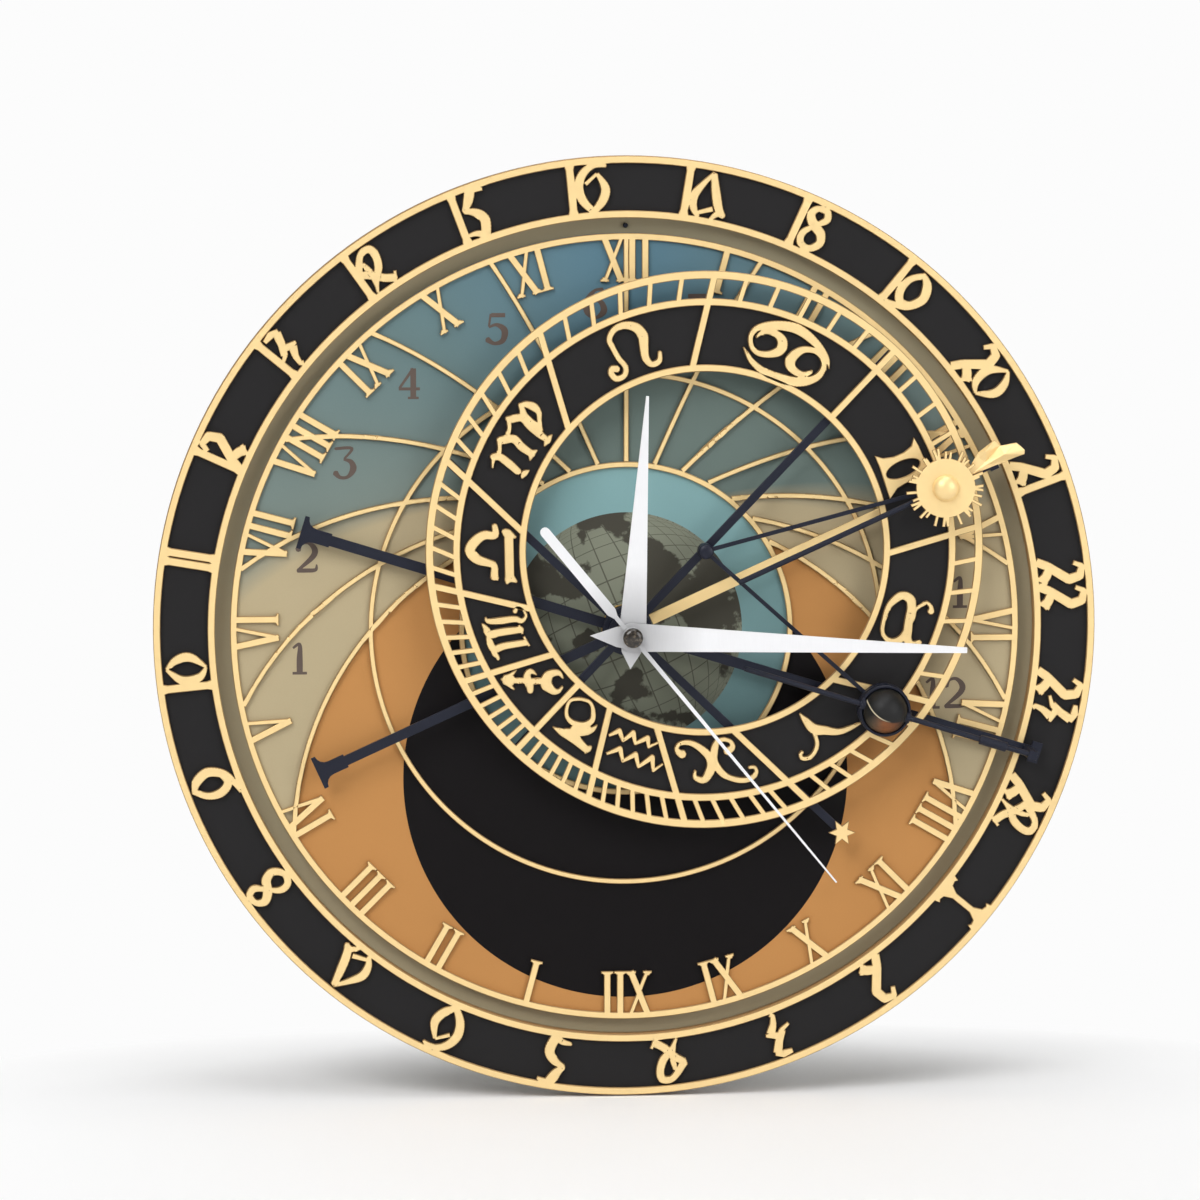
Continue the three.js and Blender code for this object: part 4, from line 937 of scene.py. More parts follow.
# The figure one, and the gap between two figures
BAR = 2.9
FIGURE_GAP = 0.4
# Half of the flare at either end of the figure one that stands alone
BAR_FLARE = [(1.2, 4.4), (2.6, 1.5), (4.2, 1.1), (5.2, 1.8), (5.9, -0.3)]


def bar_figure(height, alone):
    """The figure one: a bar from rim to rim, or by itself a slim bar with nicked flares at both ends."""
    if not alone:
        foot, wide = 1.4, BAR + 0.9
        return brush([(0, -0.3, wide), (0, foot, BAR), (0, height - foot, BAR), (0, height + 0.3, wide)])
    flare = BAR_FLARE + [(-x, y) for x, y in reversed(BAR_FLARE)]
    return [flare, [(x, height - y) for x, y in flare]] + line([(0, 2), (0, height - 2)], 2.4)


def hour_figures(hour):
    """Panels of an hour's one or two figures, side by side about the middle."""
    height = sizes().ring_band / MM
    digits = list(str(hour))
    widths = [BAR if digit == "1" else sizes().figure_width / MM for digit in digits]
    x = -(sum(widths) + FIGURE_GAP * (len(digits) - 1)) / 2
    panels = []
    for digit, width in zip(digits, widths):
        after_bar = len(digits) == 2 and digits[0] == "1"
        shapes = bar_figure(height, len(digits) == 1) if digit == "1" else figure(digit, not after_bar)
        panels += [moved(shape, x + width / 2, 0) for shape in shapes]
        x += width + FIGURE_GAP
    return panels


# Signs: strokes as x, y and width, in millimetres about the middle of their panel, tops outwards
SIGNS = {
    "scorpio": [
        [(8.5, 4.5, 0.8), (7, 4, 1.6), (5.5, 0, 2.2), (4, -5, 2), (2.5, -7, 1.6), (3.5, -9, 1),
         (6, -9, 0.8), (7.5, -7.5, 1), (6.5, -6, 1.6)],
        [(7, 6.5, 0.6), (5.5, 6, 1.6), (2.5, 5.5, 2.4), (2, 3, 2.4), (1, -1, 2.4), (-0.5, -6, 2)],
        [(2, 6.5, 1), (0, 6.5, 2), (-3, 6, 2.4), (-3.5, 2, 2.2), (-5.5, -6, 2)],
        [(-3, 6, 2.2), (-4.5, 6.5, 1.8), (-6, 6, 1.4), (-7, 6, 0.8)],
        [(1.5, -5.5, 0.8), (-2, -5.5, 0.8)],
        [(-3, -5.5, 0.8), (-7, -6, 0.8)],
    ],
    "sagittarius": [
        [(10.5, 8.5, 0.4), (9.5, 7.5, 2), (8.5, 6.5, 4), (7.5, 5.5, 2), (4, 1.5, 1.8),
         (0.5, -2.5, 1.8)],
        [(10, 7.5, 1.2), (9.5, 5, 1.4), (9.5, 2, 0.4)],
        [(9.5, 8, 1.2), (7, 7.5, 1.4), (4.5, 7, 0.4)],
        [(0.5, 3, 2), (2, 2, 2.4), (3.5, 1.5, 2.8), (5.5, 0.5, 2.2), (6, -1.5, 1.8), (3.5, -2.5, 0.4)],
        [(-3.5, -9, 0.6), (-1, -9, 1.8), (0.5, -7, 2.4), (0.5, -5, 3.2), (-1, -3, 3.6), (-3, -3, 3),
         (-5, -3.5, 2.2), (-6, -5, 1.4), (-5.5, -7, 0.6)],
    ],
    "capricorn": [
        [(4.5, -8, 1.2), (1, -9, 1.2), (-2, -7, 1.4), (-3.5, -4, 1.8), (-2, -1, 2), (1.5, 0.5, 1.8),
         (4.5, 0, 1.4), (6.5, -2.5, 1.2), (7, -5.5, 1.2), (4.5, -8, 1.2)],
        [(6.5, 6, 0.4), (2.5, 5.5, 2.4), (-0.5, 4.5, 3.8), (-4.5, 5, 2.8), (-8.5, 5.5, 2.2)],
        [(-9, 3.5, 0.4), (-8.5, 5, 2), (-8.5, 7, 0.4)],
        [(-0.5, 0, 3), (-1, 2.5, 3.8)],
        [(-1, 2.5, 3.4), (-4, 0.5, 2.4), (-5.5, -1.5, 1.8), (-6, -4, 0.4)],
        [(-3, -2, 1.2), (-4.5, -1.5, 1.2)],
    ],
    "aquarius": [
        [(9.5, -3, 0.8), (6.5, -6, 1.6), (4, -3, 1), (1.5, -7, 1.6), (-0.5, -3.5, 1), (-4, -7, 1.6),
         (-5.5, -4, 1), (-8.5, -7, 0.6)],
        [(8, 3.5, 0.8), (4, 0, 1.6), (1.5, 4, 1), (-2, 0, 1.6), (-4.5, 4, 1), (-8, -1, 1.6),
         (-10, 3.5, 1), (-12.5, 0, 0.6)],
    ],
    "pisces": [
        [(9.5, -4, 2.8), (11, -5, 2), (11.5, -6.5, 1.4), (10, -8, 1.4), (6.5, -8, 1.8), (3, -6, 2.2),
         (0, -3, 2.6), (-1, 0, 3), (0, 3, 2.8), (2, 5.5, 2.2), (5, 4.5, 1.6), (5, 2, 0.8)],
        [(-6.5, -4.5, 2.4), (-8.5, -6, 2), (-8, -8, 1.4), (-5.5, -9, 1.4), (-3, -8, 1.8), (-2, -5, 2.4),
         (-2, -1, 2.4), (-4.5, 3, 2.2), (-7.5, 5, 1.8), (-11.5, 6, 1.8), (-15, 5.5, 1.6),
         (-17, 3.5, 1.4), (-16.5, 1.5, 1.2), (-14.5, 1.5, 1)],
        [(-0.5, -3, 2.8), (-2, -3, 2.8)],
    ],
    "leo": [
        [(-4.5, -5, 2.2), (-6, -4, 1.8), (-7, -5.5, 2), (-6, -8, 2), (-3, -8, 1.8), (-1.5, -5.5, 1.8),
         (-2.5, -1.5, 1.8), (-3, 2.5, 1.8), (-3, 6, 1.8), (0, 8.5, 2), (4, 8.5, 2.4), (7.5, 6, 3),
         (8.5, 2.5, 3.2), (7.5, -1, 2.8), (6.5, -5, 2.4), (7.5, -8, 2), (10.5, -8, 1.8), (12, -5, 1.2)],
    ],
    "cancer": [
        [(17.5, -0.5, 0.4), (15, 3, 1.6), (9, 6.5, 2.6), (1.5, 8.5, 3.2), (-6, 7, 2.8), (-11.5, 4, 2),
         (-13, 0.5, 1.6), (-11.5, -3, 1.6), (-8.5, -4.5, 1.8), (-4.5, -3.5, 2.2), (-1.5, -1, 3),
         (-1.5, 2, 3.2), (-4, 4, 2.4), (-7.5, 4, 1.8), (-10, 2.5, 1.4), (-11, 0.5, 0.8)],
        [(-14, -4.5, 0.4), (-9.5, -8, 1.8), (-3.5, -10, 2.4), (3.5, -10, 3), (10, -8.5, 2.8),
         (14.5, -5, 2.2), (15.5, -1, 1.8), (14, 2, 1.8), (10.5, 3.5, 1.8), (6.5, 2.5, 2.2),
         (4, -0.5, 3), (3.5, -3.5, 3.2), (5.5, -5.5, 2.6), (9, -6, 2), (11.5, -4.5, 1.4),
         (12, -3.5, 0.8)],
    ],
    "libra": [
        [(11, -2, 1.8), (7.5, -2, 2.4), (7.5, 2, 2.8), (5, 5.5, 3.2), (2, 7, 3.2), (-1, 4.5, 3),
         (-2.5, 0.5, 2.4), (-3.5, -1.5, 2.2), (-8, -1.5, 2.4)],
        [(8, -7, 2.8), (-8.5, -7, 2.8)],
        [(11, -1, 0.8), (10.5, -3, 0.8)],
        [(-8, -0.5, 0.8), (-8.5, -3, 0.8)],
        [(9, -5, 0.8), (8, -6.5, 2.8), (6.5, -9.5, 0.8)],
        [(-10, -6, 0.8), (-8, -7, 2.8), (-9.5, -9.5, 0.8)],
    ],
    "virgo": [
        [(14, 6.5, 0.6), (15, 4.5, 2), (15.5, 1.5, 2.6), (14.5, -1, 1.8), (11.5, -3, 1.4),
         (9.5, -5, 1)],
        [(14, 6.5, 1.2), (12.5, 4.5, 2), (11.5, 3.5, 2.2), (11, 0.5, 1.4), (10, -4, 1.6)],
        [(7.5, 8.5, 0.4), (7.5, 7, 2.2), (10, 3.5, 2.4), (9, -0.5, 2.6), (8, -5, 2.4), (7.5, -9, 1.6)],
        [(-0.5, 7.5, 0.4), (-0.5, 6, 2.4), (2, 2.5, 2.6), (1, -1.5, 2.6), (0.5, -6, 2.2)],
        [(-7.5, 6.5, 0.4), (-7, 5.5, 2.2), (-6, 3.5, 2.4), (-6.5, -0.5, 2.6), (-7.5, -5, 2.2)],
        [(7, 7, 1.6), (4.5, 5.5, 1.4), (2.5, 5, 1.6)],
        [(-1, 6.5, 1.6), (-3.5, 5, 1.4), (-5, 4.5, 1.6)],
        [(-7, 5.5, 1.6), (-9.5, 4.5, 1), (-10.5, 4, 0.8)],
        [(5, -8.5, 0.4), (7.5, -8.5, 2), (10, -9, 0.4)],
        [(-2, -6.5, 0.4), (0.5, -6, 2), (2.5, -7, 0.4)],
        [(-9, -7, 0.4), (-7, -7, 2), (-5, -8, 0.4)],
    ],
    "aries": [
        [(1, -9, 0.6), (0.5, -5.5, 2.2), (-0.5, -1.5, 3.2), (-3.5, 1, 2.8), (-7.5, 4, 2),
         (-11.5, 5, 1.6), (-16, 5.5, 0.6)],
        [(0.5, -5, 1.8), (0, -1.5, 1.6), (0.5, 1.5, 1.4), (1.5, 4, 1.4), (4, 6, 1.4), (6.5, 6.5, 1.4),
         (8.5, 5.5, 1.4), (8.5, 4, 1.2), (7.5, 3.5, 1.2)],
    ],
    "taurus": [
        [(-7.5, 7, 2.2), (-9, 6.5, 1.4), (-10, 4.5, 1.2), (-8.5, 3, 1), (-6, 1.5, 1.2), (-3, 1.5, 1.8),
         (1, 1, 1.6), (5, 0.5, 2.2), (7.5, -2, 2.2), (7, -5, 1.6), (5, -7, 1.4), (0.5, -8, 1.4),
         (-4, -8, 1.8), (-7.5, -6.5, 2.4), (-9.5, -4.5, 2.6), (-9, -1.5, 3), (-6, 0, 2.8),
         (-2.5, 0.5, 2.6), (1.5, 1.5, 2.8), (4.5, 2.5, 2.6), (6, 4.5, 2.4), (4, 7.5, 1.2)],
    ],
}
SIGN_ORDER = [
    "taurus", "gemini", "cancer", "leo", "virgo", "libra",
    "scorpio", "sagittarius", "capricorn", "aquarius", "pisces", "aries",
]
ANGULAR_SIGNS = ("aquarius",)
# The twins' sign is one panel with an eye through it
GEMINI = [
    (-7, -8), (-5, -5.5), (-4, -2), (-4, 2), (-5, 5.5), (-7.5, 7.5), (-4, 8), (0.5, 8), (4, 8.5),
    (6, 10), (6.5, 7.5), (6.5, -1.5), (7, -5), (9.5, -9), (3, -8.5), (-2.5, -8),
]
GEMINI_EYE = [
    (1.3 + 2.9 * math.cos(math.tau * step / 24), 6.5 * math.sin(math.tau * step / 24) - 0.4)
    for step in range(24)
]


def sign_panels(name):
    """Panels of one sign, about the middle of its place."""
    if name == "gemini":
        return [GEMINI]
    panels = []
    for stroke in SIGNS[name]:
        placed = [(x, y, w * STROKE_WEIGHT) for x, y, w in stroke]
        panels += brush(placed if name in ANGULAR_SIGNS else smooth(placed, 6))
    return panels


# Plain printed figures of the unequal hours: strokes as shares of the figure's height
PRINTED = {
    "0": [
        [(0.0, 1.0, 0.1), (-0.3, 0.75, 0.24), (-0.3, 0.25, 0.24), (0.0, 0.0, 0.1), (0.3, 0.25, 0.24),
         (0.3, 0.75, 0.24), (0.0, 1.0, 0.1)],
    ],
    "1": [
        [(-0.22, 0.86, 0.08), (0.0, 0.98, 0.12), (0.0, 0.5, 0.2), (0.0, 0.02, 0.2)],
        [(-0.24, 0.02, 0.09), (0.24, 0.02, 0.09)],
    ],
    "2": [
        [(-0.28, 0.74, 0.2), (-0.16, 0.94, 0.1), (0.08, 0.98, 0.12), (0.28, 0.76, 0.2),
         (0.2, 0.5, 0.18), (-0.3, 0.06, 0.08)],
        [(-0.3, 0.06, 0.14), (0.0, 0.06, 0.14), (0.3, 0.08, 0.12), (0.34, 0.26, 0.05)],
    ],
    "3": [
        [(-0.26, 0.94, 0.06), (-0.24, 0.96, 0.1), (0.26, 0.96, 0.1), (0.0, 0.62, 0.07)],
        [(-0.02, 0.6, 0.07), (0.22, 0.52, 0.16), (0.3, 0.28, 0.22), (0.12, 0.02, 0.12),
         (-0.14, 0.0, 0.12), (-0.3, 0.16, 0.2)],
    ],
    "4": [
        [(0.12, 1.0, 0.1), (-0.34, 0.34, 0.08)],
        [(-0.36, 0.32, 0.1), (0.34, 0.32, 0.1)],
        [(0.12, 1.0, 0.19), (0.12, 0.02, 0.19)],
        [(-0.06, 0.02, 0.08), (0.3, 0.02, 0.08)],
    ],
    "5": [
        [(0.3, 0.94, 0.14), (-0.16, 0.94, 0.14)],
        [(-0.18, 0.98, 0.07), (-0.24, 0.56, 0.07)],
        [(-0.24, 0.54, 0.07), (0.02, 0.62, 0.12), (0.28, 0.44, 0.22), (0.22, 0.1, 0.18),
         (-0.06, 0.0, 0.12), (-0.3, 0.14, 0.2)],
    ],
    "6": [
        [(0.26, 0.94, 0.12), (-0.02, 0.9, 0.1), (-0.26, 0.56, 0.22), (-0.26, 0.2, 0.22),
         (0.0, 0.0, 0.1), (0.28, 0.2, 0.22), (0.22, 0.48, 0.18), (0.0, 0.58, 0.09),
         (-0.22, 0.42, 0.09)],
    ],
    "7": [
        [(-0.3, 0.92, 0.14), (0.3, 0.92, 0.14)],
        [(0.3, 0.92, 0.08), (0.04, 0.5, 0.14), (-0.1, 0.02, 0.2)],
    ],
    "8": [
        [(0.0, 1.0, 0.1), (-0.24, 0.78, 0.18), (0.0, 0.54, 0.16), (0.28, 0.26, 0.2), (0.0, 0.0, 0.1),
         (-0.28, 0.26, 0.2), (0.0, 0.54, 0.12), (0.24, 0.78, 0.16), (0.0, 1.0, 0.1)],
    ],
    "9": [
        [(-0.26, 0.06, 0.12), (0.02, 0.1, 0.1), (0.26, 0.44, 0.22), (0.26, 0.8, 0.22), (0.0, 1.0, 0.1),
         (-0.28, 0.8, 0.22), (-0.22, 0.52, 0.18), (0.0, 0.42, 0.09), (0.22, 0.58, 0.09)],
    ],
}


# Height and depth of the printed figures, and the step from one to the next as a share of the height
PRINT_HEIGHT = 10.8
PRINT_DEPTH = 0.06
PRINT_PITCH = 0.72
# A figure stands this share of an hour short of its arc, at this one of the arc's steps outwards
PRINT_SHORT = 0.3
PRINT_STEP = 32
PRINT_STEPS = 40
# How far a figure's back lies in the piece that carries it
SUNK = 0.05


def printed_number(text):
    """Panels of a printed number, about its middle."""
    height = PRINT_HEIGHT
    pitch = PRINT_PITCH * height
    panels = []
    x = -pitch * (len(text) - 1) / 2
    for digit in text:
        for stroke in PRINTED[digit]:
            scaled = [(x + px * height, (py - 0.5) * height, w * height) for px, py, w in stroke]
            panels += brush(smooth(scaled, 5) if len(scaled) > 3 else scaled)
        x += pitch
    return panels


# The floor is a sheet this wide, in metres, that turns up into a wall this high
FLOOR_WIDTH = 12
WALL_HEIGHT = 6
# Lamps: name, place, size and power
LAMPS = (
    ("key", (-1.3, -1.9, 1.7), 1.8, 52),
    ("fill", (1.7, -1.8, 0.7), 1.8, 26),
    ("top", (0.2, -0.5, 2.1), 1.6, 18),
)
WORLD_LIGHT = 0.8
# The camera stands a little to the left and above, and the clock lies just off the picture's middle.
# The focal length, the picture's width and the offset are in pixels of the photograph.
CAMERA_TURN = 4.5
CAMERA_LIFT = 6.2
CAMERA_DISTANCE = 2.2
CAMERA_AIM = (0, -0.03, 0)
CAMERA_FOCAL = 6115
PICTURE_WIDTH = 1200
PICTURE_OFFSET = (26.9, 29.6)
SENSOR_WIDTH = 36


# Operators


class CLOCK_OT_stage(Operator):
    """White floor and backdrop, soft lamps and the camera"""

    bl_idname = "clock.stage"
    bl_label = "Stage"

    def execute(self, context):
        make_floor()
        make_lamps()
        make_camera()
        return {"FINISHED"}


def make_floor():
    """One sheet that runs back from the clock and up, white behind it and lit around it."""
    ground = low("hour_ring").z - 0.5 * MM
    bpy.ops.mesh.primitive_plane_add(size=FLOOR_WIDTH, location=(0, 0, ground))
    floor = bpy.context.object
    floor.name = "floor"
    bpy.ops.object.transform_apply(location=True, rotation=True, scale=True)
    for e in floor.data.edges:
        e.select = all(floor.data.vertices[v].co.y > 0 for v in e.vertices)
    bpy.ops.object.mode_set(mode="EDIT")
    bpy.ops.mesh.select_mode(type="EDGE")
    bpy.ops.mesh.extrude_region_move(TRANSFORM_OT_translate={"value": (0, 0, WALL_HEIGHT)})
    finish_edit()
    floor.data.materials.append(floor_white())


def floor_white():
    """Pale floor that takes shadows near the clock and is evenly white away from it."""
    finish = Finish("floor_white", 0.8)
    at = finish.place()
    aside, y = at.part("X").of("ABSOLUTE"), at.part("Y")
    tint = linear(colours().floor)
    finish.paint(finish.shade(tint, 0.985 + finish.noise(at, 0.01, 2.0) * 0.015))
    from_foot = distance((aside - 60).of("MAXIMUM", 0.0) * 0.6, y)
    white_at = (y.ease(0.0, 90.0) + aside.ease(80.0, 230.0)).of("MINIMUM", 1.0)
    seen = finish.node("ShaderNodeLightPath", output="Is Camera Ray")
    far = from_foot.ease(10.0, 120.0) * white_at * seen
    white = finish.node("ShaderNodeEmission", None, [tint, 1.0])
    lit = Value(finish, finish.shader.outputs[0])
    blend = finish.node("ShaderNodeMixShader", None, [far, lit, white])
    finish.tree.links.new(blend.output, finish.tree.nodes["Material Output"].inputs["Surface"])
    return finish.material


def make_lamps():
    """Three soft round lamps that look at the clock, in a pale world."""
    for name, place, size, power in LAMPS:
        bpy.ops.object.light_add(type="AREA", location=place)
        lamp = bpy.context.object
        lamp.name = name
        lamp.data.shape = "DISK"
        lamp.data.size = size
        lamp.data.energy = power
        lamp.rotation_euler = (-Vector(place)).to_track_quat("-Z", "Y").to_euler()
    world = bpy.data.worlds.new("studio")
    world.use_nodes = True
    background = world.node_tree.nodes["Background"]
    background.inputs["Color"].default_value = (1, 1, 1, 1)
    background.inputs["Strength"].default_value = WORLD_LIGHT
    bpy.context.scene.world = world


def make_camera():
    """The photograph's own view."""
    turn, lift = math.radians(CAMERA_TURN), math.radians(CAMERA_LIFT)
    forward = Vector((math.sin(turn) * math.cos(lift), math.cos(turn) * math.cos(lift), -math.sin(lift)))
    bpy.ops.object.camera_add(location=Vector(CAMERA_AIM) - forward * CAMERA_DISTANCE)
    camera = bpy.context.object
    camera.rotation_euler = forward.to_track_quat("-Z", "Y").to_euler()
    camera.data.sensor_width = SENSOR_WIDTH
    camera.data.lens = SENSOR_WIDTH * CAMERA_FOCAL / PICTURE_WIDTH
    camera.data.shift_x = -PICTURE_OFFSET[0] / PICTURE_WIDTH
    camera.data.shift_y = PICTURE_OFFSET[1] / PICTURE_WIDTH
    bpy.context.scene.camera = camera
    bpy.context.scene.view_settings.view_transform = "Standard"


# The pin in the channel over the dial: its radius, length and place above the dial's edge
PIN_RADIUS = 0.9
PIN_LENGTH = 1.5
PIN_ABOVE = 2.6
# The bore through the plates, as a share of the washer round it
BORE_SHARE = 0.43


class CLOCK_OT_backing(Operator):
    """Round back plate and the printed dial disc"""

    bl_idname = "clock.backing"
    bl_label = "Back Plate and Dial"

    def execute(self, context):
        bore = radius_of("rubber_washer") * BORE_SHARE
        turned_like("back_plate", "back_disc", bore, radius_of("back_plate"), 0.4, "khaki_back")
        turned_like("dial_disc", "dial_face", bore, radius_of("dial_disc"), 0.25, "dial_print")
        make_channel_pin()
        return {"FINISHED"}


def make_channel_pin():
    """The small dark pin in the channel, over the dial."""
    foot = levels("back_plate")[1]
    sunk, end, r, edge = foot - 0.3, foot + PIN_LENGTH, PIN_RADIUS, 0.3
    profile = [(0, sunk), (r, sunk), (r, end - edge), (r - edge, end), (0, end)]
    pin = revolve("channel_pin", profile, (0, 0, radius_of("dial_disc") + PIN_ABOVE), steps=16)
    use_finish(pin, "navy_paint", "case")


class CLOCK_OT_printed_figures(Operator):
    """Plain numbers of the twelve unequal hours, printed on the dial"""

    bl_idname = "clock.printed_figures"
    bl_label = "Printed Figures"

    def execute(self, context):
        panels = []
        front = levels("dial_disc")[1]
        for hour in range(1, 13):
            spot = unequal_hour(hour - PRINT_SHORT, PRINT_STEPS)[PRINT_STEP]
            panels += [moved(p, *spot) for p in printed_number(str(hour))]
        number = sheet("unequal_hour_figures", panels, front - SUNK, front + PRINT_DEPTH, 0)
        use_finish(number, "dial_figures", "case")
        return {"FINISHED"}


class CLOCK_OT_dial_fret(Operator):
    """Gilt circles, unequal-hour arcs and Roman numerals over the dial"""

    bl_idname = "clock.dial_fret"
    bl_label = "Dial Fret"

    def execute(self, context):
        size = sizes()
        outer = radius_of("dial_fret")
        outer_inner = outer - size.dial_line / MM
        thin = size.arc_line / MM
        equator = size.equator / MM
        inner = equator / tropic()
        panels = ring_panels(outer, outer_inner)
        panels += ring_panels(equator + thin / 2, equator - thin / 2)
        panels += ring_panels(inner, inner - size.inner_line / MM, steps=120)
        for hour in range(13):
            panels += line(unequal_hour(hour), thin)
        foot = outer_inner + NUMERAL_LAP - size.numeral_height / MM
        for i in range(24):
            at = -90 - HOUR_TURN * (i + 1)
            panels += [turned(moved(p, 0, foot), at - 90) for p in roman_numeral(ROMAN[i % 12])]
        gilt_fret("dial_fret", "dial_tracery", panels, "case")
        return {"FINISHED"}


class CLOCK_OT_hour_ring(Operator):
    """24-hour ring: its base, black band and fret of old figures"""

    bl_idname = "clock.hour_ring"
    bl_label = "24-Hour Ring"

    def execute(self, context):
        size = sizes()
        outer = radius_of("hour_ring")
        rim = size.rim / MM
        inner = outer - 2 * rim - size.ring_band / MM
        turned_like("hour_ring", "ring_base", inner, outer, 0.3, "gilt_ring")
        turned_like("hour_band", "ring_panel", inner + rim / 2, outer - rim / 2, 0.1, "black_panel")
        panels = ring_panels(outer, outer - rim) + ring_panels(inner + rim, inner)
        for hour in range(1, 25):
            at = RING_START - HOUR_TURN * hour
            panels += [turned(moved(p, 0, inner + rim), at - 90) for p in hour_figures(hour)]
        gilt_fret("hour_fret", "ring_figures", panels, "case")
        return {"FINISHED"}


# The zodiac ring from its outer edge inwards: rim, degree windows, rim, signs, rim
OUTER_RIM = 2.9
DEGREE_WINDOW = 6.9
MIDDLE_RIM = 2.6
SIGN_WINDOW = 21.1
INNER_RIM = 2.5
# How far the black band and the bars run in under the rims
BAND_LAP = 0.8
BAR_LAP = 1.0
# Degrees from one bar to the next, and from the ring's own turn to the first sign
DEGREE_TURN = 5
SIGN_TURN = 30
SIGN_START = -45.4


class CLOCK_OT_zodiac_ring(Operator):
    """Zodiac ring: rims, degree bars, black band and the twelve signs"""

    bl_idname = "clock.zodiac_ring"
    bl_label = "Zodiac Ring"

    def execute(self, context):
        x, y = zodiac_centre()
        rims = zodiac_rims()
        inner, outer = rims[2][1] + BAND_LAP, rims[1][0] - BAND_LAP
        turned_like("zodiac_band", "sign_panel", inner, outer, 0.12, "black_panel", "zodiac", (x, 0, y))
        panels = []
        for wide, narrow in rims:
            panels += ring_panels(wide, narrow, (x, y), 168)
        panels += zodiac_bars(rims)
        gilt_fret("zodiac_fret", "zodiac_tracery", panels, "zodiac", ["sign_fret"])
        make_signs((rims[1][1] + rims[2][0]) / 2)
        return {"FINISHED"}


def zodiac_bars(rims):
    """Bars between the degree windows, and the twelve that part the signs."""
    size = sizes()
    turn = math.degrees(size.zodiac_turn)
    panels = []
    for step in range(0, 360, DEGREE_TURN):
        wide = size.degree_bar if step % SIGN_TURN else size.sign_bar
        panels += zodiac_bar(turn + step, rims[1][0] - BAR_LAP, rims[0][0] - BAR_LAP, wide / MM)
    for step in range(0, 360, SIGN_TURN):
        panels += zodiac_bar(turn + step, rims[2][1] + BAR_LAP, rims[1][0] - BAR_LAP, size.sign_bar / MM)
    return panels


def make_signs(mid):
    """The twelve signs about the middle circle of their band, tops outwards."""
    centre = zodiac_centre()
    signs, eyes = [], []
    for i, name in enumerate(SIGN_ORDER):
        at = math.degrees(sizes().zodiac_turn) + SIGN_START + SIGN_TURN * i
        place = polar(zodiac_reach(mid, at), at)
        outwards = math.degrees(math.atan2(place[1] - centre[1], place[0] - centre[0]))
        signs += [turned(p, outwards - 90, place) for p in sign_panels(name)]
        if name == "gemini":
            eyes.append(turned(GEMINI_EYE, outwards - 90, place))
    back, front = levels("zodiac_band")[1] - SUNK, levels("zodiac_fret")[1]
    gilt_signs = sheet("zodiac_signs", signs, back, front, holes=eyes)
    use_finish(gilt_signs, "gilt_sheet", "zodiac")


def zodiac_circle():
    """The zodiac ring's radius, and how far its centre lies from the clock's axis."""
    t = tropic()
    half = sizes().equator / MM / 2
    return half * (t + 1 / t), half * (t - 1 / t)


def zodiac_centre():
    return polar(zodiac_circle()[1], math.degrees(sizes().zodiac_turn))


def zodiac_rims():
    """Outer and inner radius of the three gilt rims."""
    outer = zodiac_circle()[0]
    middle_rim = outer - OUTER_RIM - DEGREE_WINDOW
    inner_rim = middle_rim - MIDDLE_RIM - SIGN_WINDOW
    return [
        (outer, outer - OUTER_RIM),
        (middle_rim, middle_rim - MIDDLE_RIM),
        (inner_rim, inner_rim - INNER_RIM),
    ]


def zodiac_reach(r, degrees):
    """Distance from the clock's axis to a circle about the zodiac ring's centre."""
    offset = zodiac_circle()[1]
    turn = math.radians(degrees) - sizes().zodiac_turn
    side = offset * math.sin(turn)
    return offset * math.cos(turn) + math.sqrt(r * r - side * side)


def zodiac_bar(degrees, from_r, to_r, width):
    """A bar that points at the clock's axis, between two circles about the zodiac ring's centre."""
    ends = [polar(zodiac_reach(from_r, degrees), degrees), polar(zodiac_reach(to_r, degrees), degrees)]
    return line(ends, width)


class CLOCK_OT_zodiac_mount(Operator):
    """The zodiac ring's spokes, star and pivot knob"""

    bl_idname = "clock.zodiac_mount"
    bl_label = "Spokes, Star and Knob"

    def execute(self, context):
        dress("zodiac_spokes", "navy_paint", 0.2)
        make_star()
        make_knob()
        return {"FINISHED"}


def make_star():
    """Six flat rays that rise to the star's middle."""
    back, front = levels("star")
    centre = middle("star")
    r = radius_of("star") - centre[0]
    outline = []
    for i in range(6):
        outline += [polar(r, 60 * i), polar(r * 0.5, 60 * i + 30)]
    star = sheet("star_rays", [moved(outline, *centre)], back, front, 0.3)
    use_finish(star, "gilt_sheet", "zodiac", ["star"])


# The knob's round head is this thick, and its neck this share of its foot
KNOB_HEAD = 2.0
KNOB_NECK = 0.48


def make_knob():
    """The post that both links turn on, with a neck and a round head."""
    x, z = middle("link_post")
    back, front = levels("link_post")
    r = radius_of("link_post") - x
    neck = r * KNOB_NECK
    foot = levels("zodiac_fret")[1]
    head = front - KNOB_HEAD
    profile = [(0, back), (r, back), (r, foot - 0.2), (r - 0.2, foot), (neck, foot), (neck, head - 0.2)]
    for lift in range(-75, 90, 15):
        across, up = polar(1, lift)
        profile.append((r * across + 0.02, head + KNOB_HEAD / 2 * (1 + up)))
    profile.append((0, front))
    knob = revolve("pivot_knob", profile, (x, 0, z), steps=32)
    use_finish(knob, "navy_paint", "zodiac", ["link_post"])


